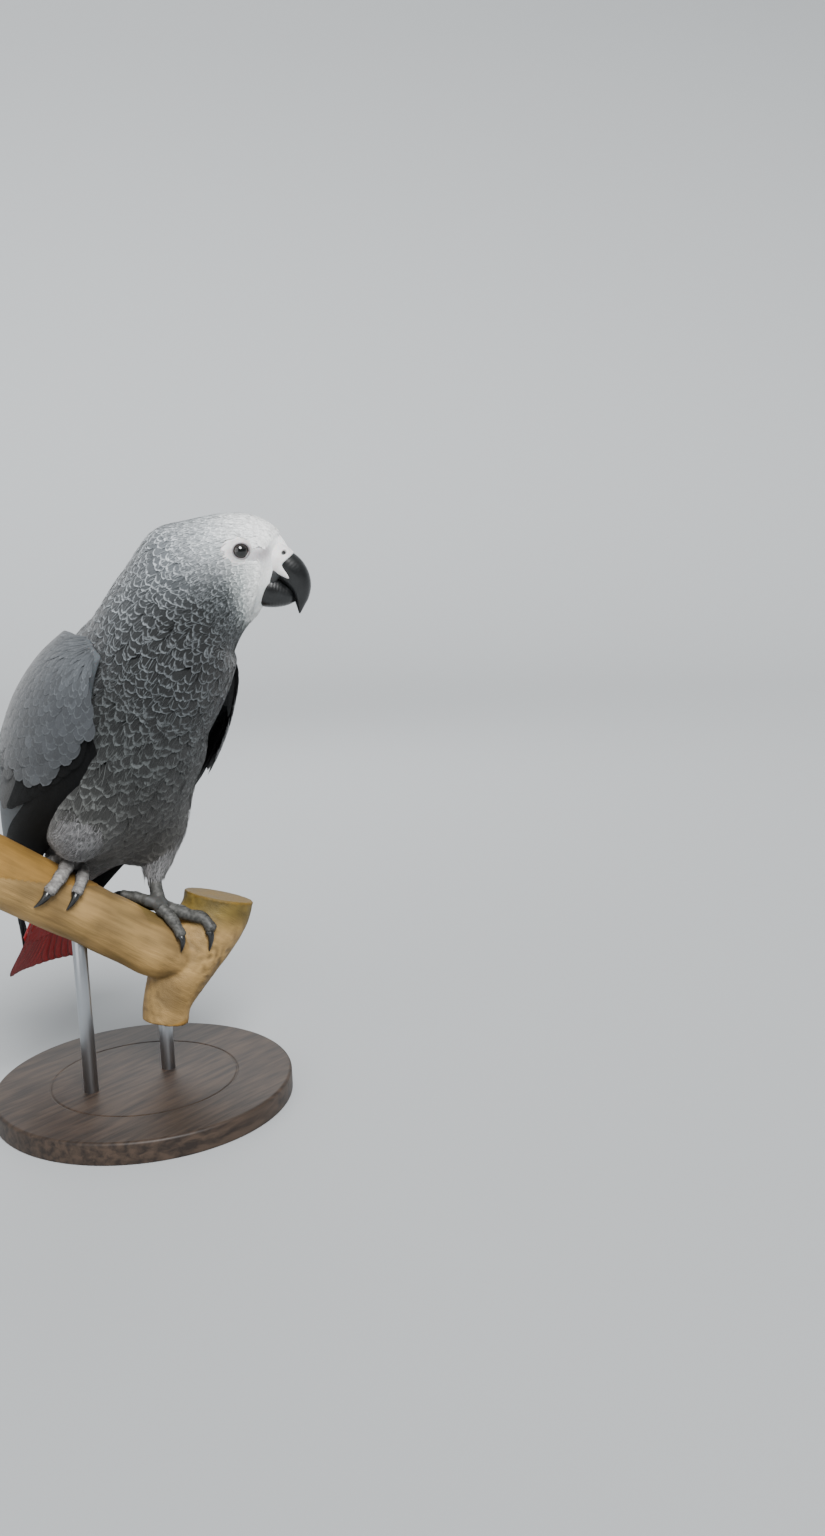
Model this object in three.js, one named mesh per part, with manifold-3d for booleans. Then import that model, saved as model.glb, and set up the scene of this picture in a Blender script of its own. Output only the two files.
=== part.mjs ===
// A grey parrot, life size, gripping a short cut length of branch on a plain display stand.
// Millimetres, +Z up. The bird faces -Y, its left side is +X, and the origin is the centre of the
// underside of the stand's base. Every solid is a loft: rings of points worked out from a few
// stations, joined by a smooth curve and filled flat at both ends.
import * as THREE from 'three';
import { mergeVertices } from 'three/addons/utils/BufferGeometryUtils.js';
import Module from 'manifold-3d';

const wasm = await Module();
wasm.setup();

// ---- Driving dimensions -------------------------------------------------------------------
const GAP = 0.3; // thin cut between neighbours

const BASE_DIAMETER = 190;
const BASE_HEIGHT = 14;
const BASE_CHAMFER = 2;
const ROD_DIAMETER = 9;
const ROD_PLACE = -44; // of the rod under the branch, along the perch
const ROD_INSIDE_STEM = 18;

const PERCH_TOP = 132; // over the underside of the base, midway between the feet
const PERCH_RADIUS = 19.3;
const PERCH_SLOPE = 35; // degrees, down towards the bird's left
const PERCH_TURN = 18; // degrees, its left end forwards
const PERCH_START = -122; // cut end, along the perch from its middle

const LEAN = 57; // trunk axis over the horizontal, degrees
const TRUNK = [0, -4, 103]; // middle of the trunk, from the perch top
const EYES = [24, -90, 216]; // midpoint between the eyes, from the perch top
const HEAD_TURN = 46; // to the bird's left, degrees
const HEAD_NOD = -2;
const EYE_RADIUS = 6.2;
const EYE_SPREAD = 16.6; // centre of each eye from the head's mid-plane

// Feet: name, side, place along the perch, how far each is turned outwards in degrees, and the knee
// (along the trunk axis, towards the back, outwards).
const FEET = [
  ['left', 1, 4, 46, [-48, -26, 31]],
  ['right', -1, -60, 4, [-40, -30, 40]],
];

// How many rings each loft has, both ends included, and how many points round a ring.
const RINGS = {
  head: 15, neck: 9, trunk: 16, trunkCutter: 30, upperBeak: 12, lowerBeak: 8, tail: 8,
  wing: 12, primaries: 8, branch: 12, fork: 13, shank: 7, thigh: 7, toe: 6, claw: 5,
};
const SIDES = {
  body: 22, beak: 14, tail: 18, perch: 16, shank: 10, thigh: 12, toe: 8, claw: 6, rod: 16, base: 40,
};
const EYE_MERIDIANS = 12;
const EYE_PARALLELS = 8;

// ---- Small tools --------------------------------------------------------------------------
const TANGENT_STEP = 0.05; // in rows, for the heading of a tube
const rad = THREE.MathUtils.degToRad;
const vec = (x, y, z) => new THREE.Vector3(x, y, z);
const mix = THREE.MathUtils.lerp;

/** Evenly spaced numbers from a to b, both included. */
function spread(a, b, count) {
  return Array.from({ length: count }, (_, i) => mix(a, b, i / (count - 1)));
}

/** Catmull-Rom value at t of a table whose rows are lists of numbers. */
function smooth(rows, t) {
  const last = rows.length - 1;
  const i = THREE.MathUtils.clamp(Math.floor(t), 0, last - 1);
  const f = t - i;
  const ghost = (row, next) => row.map((v, k) => 2 * v - next[k]);
  const a = i > 0 ? rows[i - 1] : ghost(rows[0], rows[1]);
  const d = i < last - 1 ? rows[i + 2] : ghost(rows[last], rows[last - 1]);
  const [b, c] = [rows[i], rows[i + 1]];
  return b.map((v, k) => 0.5 * (2 * v + (c[k] - a[k]) * f
    + (2 * a[k] - 5 * v + 4 * c[k] - d[k]) * f ** 2
    + (3 * v - a[k] - 3 * c[k] + d[k]) * f ** 3));
}

/** The angles of a ring's points, once round. */
function turns(sides) {
  return spread(0, 2 * Math.PI, sides + 1).slice(0, sides);
}

/** A closed solid through rings of equally many points, its two ends filled flat. */
function loft(rings) {
  const sides = rings[0].length;
  const points = rings.flat();
  const faces = [];
  for (let i = 0; i < rings.length - 1; i += 1) {
    for (let j = 0; j < sides; j += 1) {
      const [a, b] = [i * sides + j, i * sides + (j + 1) % sides];
      faces.push(a, b, b + sides, a, b + sides, a + sides);
    }
  }
  for (const [ring, start] of [[rings[0], 0], [rings.at(-1), points.length - sides]]) {
    const centre = ring.reduce((sum, p) => sum.add(p), vec(0, 0, 0)).divideScalar(sides);
    const middle = points.push(centre) - 1;
    for (let j = 0; j < sides; j += 1) {
      const edge = [start + j, start + (j + 1) % sides];
      faces.push(...(start ? edge : edge.reverse()), middle);
    }
  }
  let volume = 0;
  for (let i = 0; i < faces.length; i += 3) {
    const [a, b, c] = faces.slice(i, i + 3).map((k) => points[k]);
    volume += a.dot(b.clone().cross(c));
  }
  const geometry = new THREE.BufferGeometry().setFromPoints(points);
  geometry.setIndex(volume < 0 ? faces.reverse() : faces);
  return geometry;
}

/** The same geometry as a solid that can be cut and joined. */
function solid(geometry) {
  const bare = geometry.clone();
  bare.deleteAttribute('normal');
  bare.deleteAttribute('uv');
  const merged = mergeVertices(bare);
  return new wasm.Manifold(new wasm.Mesh({
    numProp: 3,
    vertProperties: Float32Array.from(merged.attributes.position.array),
    triVerts: Uint32Array.from(merged.index.array),
  }));
}

/** A cut solid as a geometry again. */
function shape(manifold) {
  const mesh = manifold.getMesh();
  const geometry = new THREE.BufferGeometry();
  geometry.setAttribute('position', new THREE.BufferAttribute(mesh.vertProperties, 3));
  geometry.setIndex(new THREE.BufferAttribute(mesh.triVerts, 1));
  return geometry;
}

/** A loft less each of the other lofts. */
function cut(geometry, ...others) {
  return shape(others.reduce((left, other) => left.subtract(solid(other)), solid(geometry)));
}

const model = new THREE.Group();

/** Adds one named node of one material to the model. */
function add(name, geometry, material) {
  const mesh = new THREE.Mesh(geometry, material.clone());
  mesh.name = name;
  model.add(mesh);
  return mesh;
}

function finish(colour, roughness) {
  return new THREE.MeshStandardMaterial({ color: colour, roughness, metalness: 0 });
}

const PALE = finish(0xd9d9d8, 0.9);
const SCALLOPED = finish(0x8f9194, 0.9);
const GREY = finish(0x85888a, 0.9);
const ASH = finish(0x7c8084, 0.85);
const BLACK_VANE = finish(0x26272a, 0.7);
const RED = finish(0xb31f24, 0.85);
const HORN = finish(0x1b1c1e, 0.3);
const EYE = finish(0x14110f, 0.05);
const SCALE = finish(0x6f7173, 0.7);
const WOOD = finish(0xb08a58, 0.75);
const STAND = finish(0x33302c, 0.5);
const STEEL = finish(0x9a9ca0, 0.35);

// ---- Frames: perch, trunk and head --------------------------------------------------------
const perchTurn = new THREE.Matrix4().makeRotationZ(-rad(PERCH_TURN))
  .multiply(new THREE.Matrix4().makeRotationY(rad(PERCH_SLOPE)));
const [perchAlong, perchFront, perchUp] = [vec(1, 0, 0), vec(0, -1, 0), vec(0, 0, 1)]
  .map((axis) => axis.applyMatrix4(perchTurn));
const perchMiddle = vec(0, 0, PERCH_TOP - PERCH_RADIUS / Math.cos(rad(PERCH_SLOPE)));

/** A point about the perch: place along it, turn from its top towards the front, radius. */
function onPerch(place, turn, radius) {
  return perchMiddle.clone().addScaledVector(perchAlong, place)
    .addScaledVector(perchUp, radius * Math.cos(rad(turn)))
    .addScaledVector(perchFront, radius * Math.sin(rad(turn)));
}

const perchTop = vec(0, 0, PERCH_TOP);
const trunkUp = vec(0, -Math.cos(rad(LEAN)), Math.sin(rad(LEAN)));
const trunkBack = vec(0, Math.sin(rad(LEAN)), Math.cos(rad(LEAN)));

/** A trunk point: along its axis towards the head, out towards the back, to the left. */
function trunkPoint(along, back, left = 0) {
  return vec(...TRUNK).add(perchTop).addScaledVector(trunkUp, along)
    .addScaledVector(trunkBack, back).add(vec(left, 0, 0));
}

const headAhead = vec(Math.sin(rad(HEAD_TURN)) * Math.cos(rad(HEAD_NOD)),
  -Math.cos(rad(HEAD_TURN)) * Math.cos(rad(HEAD_NOD)), Math.sin(rad(HEAD_NOD)));
const headLeft = vec(Math.cos(rad(HEAD_TURN)), Math.sin(rad(HEAD_TURN)), 0);
const headUp = headLeft.clone().cross(headAhead).negate();

/** A head point: ahead of the eyes, above them, to the head's left. */
function headPoint(ahead, up, left = 0) {
  return vec(...EYES).add(perchTop).addScaledVector(headAhead, ahead)
    .addScaledVector(headUp, up).addScaledVector(headLeft, left);
}

// ---- Head, neck and trunk: one skin-tight loft parted by thin cuts --------------------------
// Each station: its topmost (back) point, its lowest (front) point, share of the head's turn,
// half width, and how far down from the back the widest place lies.
const BODY = [
  [headPoint(30.5, -1), headPoint(12.5, -33.5), 1, 10.5, 0.5], // face
  [headPoint(27.5, 6.5), headPoint(10.8, -36), 1, 14.5, 0.5],
  [headPoint(20, 14.6), headPoint(9, -38), 1, 18, 0.5],
  [headPoint(8, 20.5), headPoint(7, -40), 1, 20.8, 0.5],
  [headPoint(-8, 21.3), headPoint(4, -43), 1, 22.6, 0.5], // crown
  [headPoint(-26, 18), headPoint(0, -49), 0.95, 24.5, 0.5],
  [headPoint(-49, 11), headPoint(-4, -58), 0.8, 28, 0.5], // nape
  [trunkPoint(101, 38, -3), trunkPoint(85, -46, 13), 0.55, 36, 0.5],
  [trunkPoint(74, 42, -2), trunkPoint(60, -51, 5), 0.25, 45, 0.52], // mantle
  [trunkPoint(42, 53), trunkPoint(30, -51), 0.08, 50, 0.52],
  [trunkPoint(2, 60), trunkPoint(-8, -49), 0, 51, 0.52], // breast
  [trunkPoint(-36, 54), trunkPoint(-46, -43), 0, 47, 0.5],
  [trunkPoint(-72, 41), trunkPoint(-80, -27), 0, 35, 0.5], // vent
  [trunkPoint(-98, 27), trunkPoint(-104, -14), 0, 22, 0.5],
  [trunkPoint(-116, 17), trunkPoint(-120, -6), 0, 15, 0.5], // rump
].map(([top, low, ...rest]) => [...top.toArray(), ...low.toArray(), ...rest]);

const NECK_AT = 5.6; // cuts, in stations
const TRUNK_AT = 8;
const RUMP_AT = BODY.length - 1;
const CUT = 0.014; // one thin cut, in stations

/** One ring of the body at a place in stations, grown outwards by some millimetres. */
function bodyRing(place, grow = 0) {
  const s = smooth(BODY, place);
  const [top, low] = [vec(...s.slice(0, 3)), vec(...s.slice(3, 6))];
  const [turn, half, share] = s.slice(6);
  const up = top.clone().sub(low);
  const height = up.length();
  up.normalize();
  const side = vec(Math.cos(turn * rad(HEAD_TURN)), Math.sin(turn * rad(HEAD_TURN)), 0);
  side.addScaledVector(up, -side.dot(up)).normalize();
  const centre = top.clone().addScaledVector(up, -share * height);
  return turns(SIDES.body).map((angle) => {
    const reach = Math.cos(angle) > 0 ? share : 1 - share;
    return centre.clone()
      .addScaledVector(up, (reach * height + grow) * Math.cos(angle))
      .addScaledVector(side, (half + grow) * Math.sin(angle));
  });
}

function bodyLoft(from, to, rings, grow = 0) {
  return loft(spread(from, to, rings).map((place) => bodyRing(place, grow)));
}

// ---- Beak ---------------------------------------------------------------------------------
// Each row: outer edge (ahead, up), inner edge (ahead, up), half width.
const UPPER_BEAK = [
  [29.8, 0.4, 17, -9, 8.6],
  [35.6, -5, 24, -12.5, 8.8],
  [39.4, -11.8, 27.8, -17, 8.2],
  [40.8, -19.4, 30, -21.4, 7],
  [39.4, -26.6, 31.2, -26, 5.2],
  [37, -31.6, 32.4, -30.6, 3.2],
  [34.6, -36.4, 33.6, -36, 0.7],
];
const LOWER_BEAK = [
  [16.5, -12.5, 12.8, -30.5, 7.6],
  [20.5, -14, 17.5, -31.8, 8.4],
  [25, -17.5, 22.5, -31.9, 8],
  [29, -21.5, 27.5, -31, 6],
  [31.4, -25, 31, -29.6, 2.6],
];

/** A beak solid: oval rings between its outer and inner edge. */
function beakLoft(rows, rings, grow) {
  return loft(spread(0, rows.length - 1, rings).map((place) => {
    const [ahead, up, innerAhead, innerUp, half] = smooth(rows, place);
    const outer = vec(ahead, up, 0);
    const inner = vec(innerAhead, innerUp, 0);
    const across = outer.clone().sub(inner);
    const reach = across.length() / 2 + grow;
    across.normalize();
    const middle = outer.clone().add(inner).multiplyScalar(0.5);
    return turns(SIDES.beak).map((angle) => {
      const p = middle.clone().addScaledVector(across, reach * Math.cos(angle));
      return headPoint(p.x, p.y, (half + grow) * Math.sin(angle));
    });
  }));
}

// ---- Wings ----------------------------------------------------------------------------------
// The folded wing is a shell round the trunk. Each row: along the trunk axis, its centre off the
// axis, half width, half depth, the turns from the back where the shell starts and ends, how deep
// it is, and how far its two edges are tucked in towards the body.
const WING = [
  [67, 3, 46, 42, 62, 94, 8, 0],
  [55, 4, 56, 51, 40, 106, 13, 1],
  [34, 5, 63, 61, 24, 116, 15, 6],
  [3, 6, 67, 67, 15, 121, 15, 10],
  [-34, 7, 65, 65, 11, 122, 14, 12],
  [-72, 7, 57, 55, 9, 109, 12, 8],
  [-108, 6, 45, 40, 12, 101, 9, 4],
  [-140, 6, 32, 23, 18, 92, 5, 1],
  [-167, 4, 22, 13, 24, 80, 3.5, 0],
  [-185, 2, 17, 9, 40, 72, 2.5, 0],
];
const WING_EDGE = 1.2; // thickness of its feather edges
const WING_ROWS = 8; // points across each face
const PRIMARIES_AT = 5.4; // cut between covert-clad wing and the long quills

/** One ring of a wing: out over its outer face and back over its inner face. */
function wingRing(place, side) {
  const [along, back, half, depth, from, to, thick, tuck] = smooth(WING, place);
  const face = (share, under) => {
    const turn = rad(mix(from, to, share));
    const sunk = under + tuck * Math.abs(2 * share - 1) ** 3;
    return trunkPoint(along, back + (depth - sunk) * Math.cos(turn),
      side * (half - sunk) * Math.sin(turn));
  };
  const shares = spread(0, 1, WING_ROWS);
  const depthAt = (share) => WING_EDGE + thick * Math.sqrt(Math.max(0, 1 - (2 * share - 1) ** 4));
  return [
    ...shares.map((share) => face(share, 0)),
    ...shares.map((share) => face(share, depthAt(share))).reverse(),
  ];
}

function wingLoft(from, to, rings, side) {
  return loft(spread(from, to, rings).map((place) => wingRing(place, side)));
}

// ---- Tail -----------------------------------------------------------------------------------
// Each row: along the trunk axis, off it, half width, half thickness, drop of the side edges. It is
// swung a little to the bird's right.
const TAIL = [
  [-116.5, 5.5, 14.5, 10.8, 0],
  [-129, 4, 18, 8.4, 1],
  [-145, 2, 22, 5, 3],
  [-163, 0, 27, 2.6, 5],
  [-181, -1, 31, 1.5, 6],
  [-193, -2, 29, 1, 5],
];
const TAIL_SWING = -6; // at its tip

function tailLoft(grow = 0) {
  return loft(spread(0, TAIL.length - 1, RINGS.tail).map((place) => {
    const [along, back, half, thick, drop] = smooth(TAIL, place);
    const swing = TAIL_SWING * place / (TAIL.length - 1);
    return turns(SIDES.tail).map((angle) => {
      const across = Math.sin(angle);
      return trunkPoint(along, back + (thick + grow) * Math.cos(angle) - drop * across ** 2,
        swing + (half + grow) * across);
    });
  }));
}

// ---- Limbs ------------------------------------------------------------------------------------
/** A round tube through rows of [point, radius]. */
function limb(rows, rings, sides, grow = 0) {
  const table = rows.map(([point, radius]) => [...point.toArray(), radius]);
  const last = rows.length - 1;
  return loft(spread(0, last, rings).map((place) => {
    const [x, y, z, radius] = smooth(table, place);
    const before = vec(...smooth(table, Math.max(0, place - TANGENT_STEP)));
    const after = vec(...smooth(table, Math.min(last, place + TANGENT_STEP)));
    const heading = after.sub(before).normalize();
    const guide = Math.abs(perchAlong.dot(heading)) > 0.9 ? perchUp : perchAlong;
    const across = guide.clone().addScaledVector(heading, -guide.dot(heading)).normalize();
    const over = heading.clone().cross(across);
    return turns(sides).map((angle) => vec(x, y, z)
      .addScaledVector(across, (radius + grow) * Math.cos(angle))
      .addScaledVector(over, (radius + grow) * Math.sin(angle)));
  }));
}

// ---- Perch ------------------------------------------------------------------------------------
// A branch cut off just past the fork where it leaves its stem. BRANCH: its radius, one every
// BRANCH_STEP along it.
const BRANCH_STEP = 23.5;
const BRANCH = [20.6, 20.2, 19.8, 19.5, PERCH_RADIUS, PERCH_RADIUS, 19.5, 13];
// The fork: how far along level from the perch's middle, how far up from it, and radius, from the
// sawn-off stem to the sawn-off stub.
const FORK = [
  [18, -62, 15],
  [21, -48, 16],
  [31, -30, 20],
  [49, -8, 22.5],
  [59, 5, 23],
  [62, 15, 23],
];
const FORK_BACK = 4; // the fork stands this far behind the branch's axis
const BARK_REACH = 60; // further out than any bark
const BARK_BALLS = 160; // along each limb, to feel the bark with
const FEELER_STEPS = 40;

const branch = BRANCH.map((radius, i) => [
  onPerch(PERCH_START + i * BRANCH_STEP, 0, 0), radius,
]);
const fork = FORK.map(([level, up, radius]) => [
  perchMiddle.clone().add(vec(0, 0, up))
    .addScaledVector(perchAlong.clone().setZ(0).normalize(), level)
    .addScaledVector(perchFront, -FORK_BACK),
  radius,
]);

/** Both limbs of the perch as one solid, grown outwards by some millimetres. */
function perchSolid(grow) {
  return solid(limb(branch, RINGS.branch, SIDES.perch, grow))
    .add(solid(limb(fork, RINGS.fork, SIDES.perch, grow)));
}

// Balls along both limbs, so close together that their outside is the bark.
const barkBalls = [branch, fork].flatMap((rows) => {
  const table = rows.map(([point, radius]) => [...point.toArray(), radius]);
  return spread(0, rows.length - 1, BARK_BALLS).map((place) => smooth(table, place));
});

/** From the branch's axis out to the bark, at a place and a turn: felt for from outside. */
function barkRadius(place, turn) {
  let reach = BARK_REACH;
  for (let i = 0; i < FEELER_STEPS; i += 1) {
    const feeler = onPerch(place, turn, reach);
    reach -= Math.min(...barkBalls.map(([x, y, z, radius]) => (
      feeler.distanceTo(vec(x, y, z)) - radius)));
  }
  return reach;
}

// ---- Legs and feet ----------------------------------------------------------------------------
// Toes: name, root (outwards, ahead), tip (outwards, ahead), and radius at the root. Both are
// measured over the bark from the middle of the foot, before the foot is turned.
const TOES = [
  ['front_outer', [5, 4], [12, 33], 4.6],
  ['front_inner', [-5, 4], [-4, 25], 4.2],
  ['back_outer', [5, -5.5], [11, -32], 4.4],
  ['back_inner', [-5, -6], [-6, -22], 3.9],
];
const TOE_TAPER = 0.24; // share of its radius that a toe loses
const CLAW_LENGTH = 8;
const CLAW_RADIUS = 2.3;
const CLAW_TIP = 0.4;
const CLAW_SPLAY = 1.1; // its tip is this many times as far outwards as its root
const ANKLE = [5, 9, 15]; // from the sole: outwards, backwards, up
const SOLE_HEIGHT = 5.8;

/**
 * A toe or claw lying round the perch between two spots [outwards, ahead, radius] of a foot. It
 * bridges the hollow of the fork.
 */
function wrapped([, side, place, yaw], from, to, rings, sides, grow = 0) {
  const spots = spread(0, 1, 5).map((t) => {
    const [out, ahead, radius] = from.map((v, k) => mix(v, to[k], t));
    const along = place + side * (out * Math.cos(rad(yaw)) + ahead * Math.sin(rad(yaw)));
    const over = ahead * Math.cos(rad(yaw)) - out * Math.sin(rad(yaw));
    const turn = THREE.MathUtils.radToDeg(over / (PERCH_RADIUS + radius));
    return { t, along, turn, radius, reach: barkRadius(along, turn) + GAP + radius };
  });
  const [first, last] = [spots[0].reach, spots.at(-1).reach];
  return limb(spots.map(({ t, along, turn, radius, reach }) => [
    onPerch(along, turn, Math.max(reach, mix(first, last, t))), radius,
  ]), rings, sides, grow);
}

const trunkForCuts = bodyLoft(NECK_AT, RUMP_AT, RINGS.trunkCutter, GAP);
const perchForCuts = shape(perchSolid(GAP));
const legsForCuts = new Map();
for (const foot of FEET) {
  const [name, side, place, , [kneeAlong, kneeBack, kneeOut]] = foot;
  const sole = onPerch(place, 0, barkRadius(place, 0) + SOLE_HEIGHT);
  const ankle = sole.clone().add(vec(side * ANKLE[0], ANKLE[1], ANKLE[2]));
  const knee = trunkPoint(kneeAlong, kneeBack, side * kneeOut);
  const shank = (grow) => limb([
    [ankle.clone().lerp(knee, 0.12), 3.8],
    [ankle, 4.6],
    [ankle.clone().lerp(sole, 0.5), 4.1],
    [sole, 5],
  ], RINGS.shank, SIDES.shank, grow);
  const thigh = (grow) => limb([
    [trunkPoint(-18, -12, side * 27), 17],
    [knee, 17.5],
    [ankle.clone().lerp(knee, 0.45), 13],
    [ankle, 7],
  ], RINGS.thigh, SIDES.thigh, grow);
  const toesForCuts = [];
  add(`shank_${name}`, cut(shank(0), trunkForCuts), SCALE);
  for (const [toe, rootSpot, tipSpot, radius] of TOES) {
    const root = [...rootSpot, radius];
    const tip = [...tipSpot, radius * (1 - TOE_TAPER)];
    const reach = Math.sign(tip[1]) * CLAW_LENGTH;
    const clawRoot = [tip[0], tip[1], CLAW_RADIUS];
    const clawTip = [tip[0] * CLAW_SPLAY, tip[1] + reach, CLAW_TIP];
    const toeLoft = (grow) => wrapped(foot, root, tip, RINGS.toe, SIDES.toe, grow);
    const claw = wrapped(foot, clawRoot, clawTip, RINGS.claw, SIDES.claw);
    add(`toe_${toe}_${name}`, cut(toeLoft(0), shank(GAP), perchForCuts), SCALE);
    add(`claw_${toe}_${name}`, cut(claw, toeLoft(GAP), perchForCuts), HORN);
    toesForCuts.push(toeLoft(GAP));
  }
  add(`thigh_${name}`, cut(thigh(0), trunkForCuts, shank(GAP), perchForCuts, ...toesForCuts), GREY);
  legsForCuts.set(name, [thigh(GAP), shank(GAP), ...toesForCuts]);
}

// ---- Putting the bird together ------------------------------------------------------------------
const eyeBall = (side, grow) => {
  const ball = new THREE.SphereGeometry(EYE_RADIUS + grow, EYE_MERIDIANS, EYE_PARALLELS);
  const at = headPoint(0, 0, side * EYE_SPREAD);
  return ball.translate(at.x, at.y, at.z);
};
const upperBeak = (grow = 0) => beakLoft(UPPER_BEAK, RINGS.upperBeak, grow);
const lowerBeak = (grow = 0) => beakLoft(LOWER_BEAK, RINGS.lowerBeak, grow);

add('head', cut(bodyLoft(0, NECK_AT, RINGS.head), eyeBall(1, GAP), eyeBall(-1, GAP),
  upperBeak(GAP), lowerBeak(GAP)), PALE);
add('neck', bodyLoft(NECK_AT + CUT, TRUNK_AT, RINGS.neck), SCALLOPED);
add('trunk', bodyLoft(TRUNK_AT + CUT, RUMP_AT, RINGS.trunk), GREY);
add('beak_upper', upperBeak(), HORN);
add('beak_lower', cut(lowerBeak(), upperBeak(GAP)), HORN);
add('tail', cut(tailLoft(), trunkForCuts), RED);
for (const [name, side] of FEET) {
  add(`eye_${name}`, eyeBall(side, 0), EYE);
  const inside = [trunkForCuts, tailLoft(GAP), ...legsForCuts.get(name)];
  add(`wing_${name}`, cut(wingLoft(0, PRIMARIES_AT, RINGS.wing, side), ...inside), ASH);
  const quills = wingLoft(PRIMARIES_AT + CUT, WING.length - 1, RINGS.primaries, side);
  add(`primaries_${name}`, cut(quills, ...inside), BLACK_VANE);
}

// ---- Stand --------------------------------------------------------------------------------------
/** An upright rod from inside the base up to a point. */
function rod(top, grow) {
  const foot = BASE_HEIGHT / 2;
  const radius = ROD_DIAMETER / 2 + grow;
  return new THREE.CylinderGeometry(radius, radius, top.z - foot + 2 * grow, SIDES.rod)
    .rotateX(Math.PI / 2).translate(top.x, top.y, (foot + top.z) / 2);
}

const base = new THREE.LatheGeometry([
  new THREE.Vector2(0, 0),
  new THREE.Vector2(BASE_DIAMETER / 2, 0),
  new THREE.Vector2(BASE_DIAMETER / 2, BASE_HEIGHT - BASE_CHAMFER),
  new THREE.Vector2(BASE_DIAMETER / 2 - BASE_CHAMFER, BASE_HEIGHT),
  new THREE.Vector2(0, BASE_HEIGHT),
], SIDES.base).rotateX(Math.PI / 2);
const stemEnd = fork[0][0];
const rodTops = [onPerch(ROD_PLACE, 0, 0), stemEnd.clone().add(vec(0, 0, ROD_INSIDE_STEM))];
const rodHoles = rodTops.map((top) => rod(top, GAP));
add('perch', cut(shape(perchSolid(0)), ...rodHoles), WOOD);
add('stand_base', cut(base, ...rodHoles), STAND);
rodTops.forEach((top, i) => add(`stand_rod_${i + 1}`, rod(top, 0), STEEL));

export default model;
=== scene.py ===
import bpy
import numpy as np
from mathutils import Matrix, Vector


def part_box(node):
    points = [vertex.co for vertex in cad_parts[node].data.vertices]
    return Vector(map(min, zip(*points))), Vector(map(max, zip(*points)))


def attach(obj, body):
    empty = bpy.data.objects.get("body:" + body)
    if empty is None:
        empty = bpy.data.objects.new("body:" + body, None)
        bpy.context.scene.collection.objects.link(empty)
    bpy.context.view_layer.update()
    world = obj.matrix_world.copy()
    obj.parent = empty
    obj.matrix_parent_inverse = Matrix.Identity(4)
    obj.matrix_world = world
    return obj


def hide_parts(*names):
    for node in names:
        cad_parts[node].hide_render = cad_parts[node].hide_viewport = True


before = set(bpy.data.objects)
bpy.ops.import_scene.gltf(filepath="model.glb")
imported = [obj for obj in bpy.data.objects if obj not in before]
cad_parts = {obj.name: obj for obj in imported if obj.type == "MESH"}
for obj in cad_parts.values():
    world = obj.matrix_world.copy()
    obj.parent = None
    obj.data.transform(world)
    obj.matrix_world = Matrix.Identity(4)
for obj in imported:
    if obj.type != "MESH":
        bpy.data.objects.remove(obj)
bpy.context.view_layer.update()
scene = bpy.context.scene

# ---- Camera, floor and light ---------------------------------------------------------------
# A hand-held wide lens a little above the bird and slightly rolled, a pale matt studio floor that
# runs out of sight, and soft boxes: a large key overhead in front, a fill and a weak rim light.
CAMERA_AT = (-0.503153, -0.630166, 0.349377)
CAMERA_HEADING, CAMERA_PITCH, CAMERA_ROLL = np.radians([51.57, -10.0, 2.1])


def linear(code):
    """sRGB hex code to linear light: c/12.92 below 0.04045, otherwise ((c + 0.055)/1.055)^2.4."""
    c = np.array([int(code[i:i + 2], 16) / 255 for i in (0, 2, 4)])
    return np.where(c < 0.04045, c / 12.92, ((c + 0.055) / 1.055) ** 2.4)


def rgba(code):
    """The same as a four-number colour."""
    return (*linear(code), 1.0)


def unit(v):
    """Vectors scaled to length 1."""
    return v / np.linalg.norm(v, axis=-1, keepdims=True)


def material_of(name, **sockets):
    """A new material and its Principled shader with these socket values, underscores for spaces."""
    material = bpy.data.materials.new(name)
    material.use_nodes = True
    shader = material.node_tree.nodes["Principled BSDF"]
    for key, value in sockets.items():
        shader.inputs[key.replace("_", " ")].default_value = value
    return material, shader


forward = np.array([np.sin(CAMERA_HEADING) * np.cos(CAMERA_PITCH),
                    np.cos(CAMERA_HEADING) * np.cos(CAMERA_PITCH), np.sin(CAMERA_PITCH)])
level = np.array([np.cos(CAMERA_HEADING), -np.sin(CAMERA_HEADING), 0.0])
above = np.cross(level, forward)
right = np.cos(CAMERA_ROLL) * level - np.sin(CAMERA_ROLL) * above
upward = np.sin(CAMERA_ROLL) * level + np.cos(CAMERA_ROLL) * above
camera = bpy.data.objects.new("camera", bpy.data.cameras.new("camera"))
camera.data.lens = 30
camera.data.sensor_width = 36
camera.matrix_world = Matrix([[*np.stack([right, upward, -forward])[:, i], CAMERA_AT[i]]
                              for i in range(3)] + [[0, 0, 0, 1]])
scene.collection.objects.link(camera)
scene.camera = camera

for name, kind, place, size, power in [
    ("key_light", "SUN", (-0.5, -0.9, 1.3), np.radians(28), 6.0),
    ("fill_light", "AREA", (-1.5, -0.1, 0.7), 1.3, 8),
    ("rim_light", "AREA", (0.9, 0.9, 1.1), 0.9, 8),
]:
    lamp = bpy.data.objects.new(name, bpy.data.lights.new(name, kind))
    setattr(lamp.data, "angle" if kind == "SUN" else "size", size)
    lamp.data.energy = power
    away = unit(np.array(place) - (0, -0.02, 0.25))
    across = unit(np.cross((0, 0, 1), away))
    lamp.matrix_world = Matrix([[across[i], np.cross(away, across)[i], away[i], place[i]]
                                for i in range(3)] + [[0, 0, 0, 1]])
    scene.collection.objects.link(lamp)

world = bpy.data.worlds.new("studio")
world.use_nodes = True
world.node_tree.nodes["Background"].inputs["Color"].default_value = rgba("E6E8EA")
world.node_tree.nodes["Background"].inputs["Strength"].default_value = 0.55
scene.world = world

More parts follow.
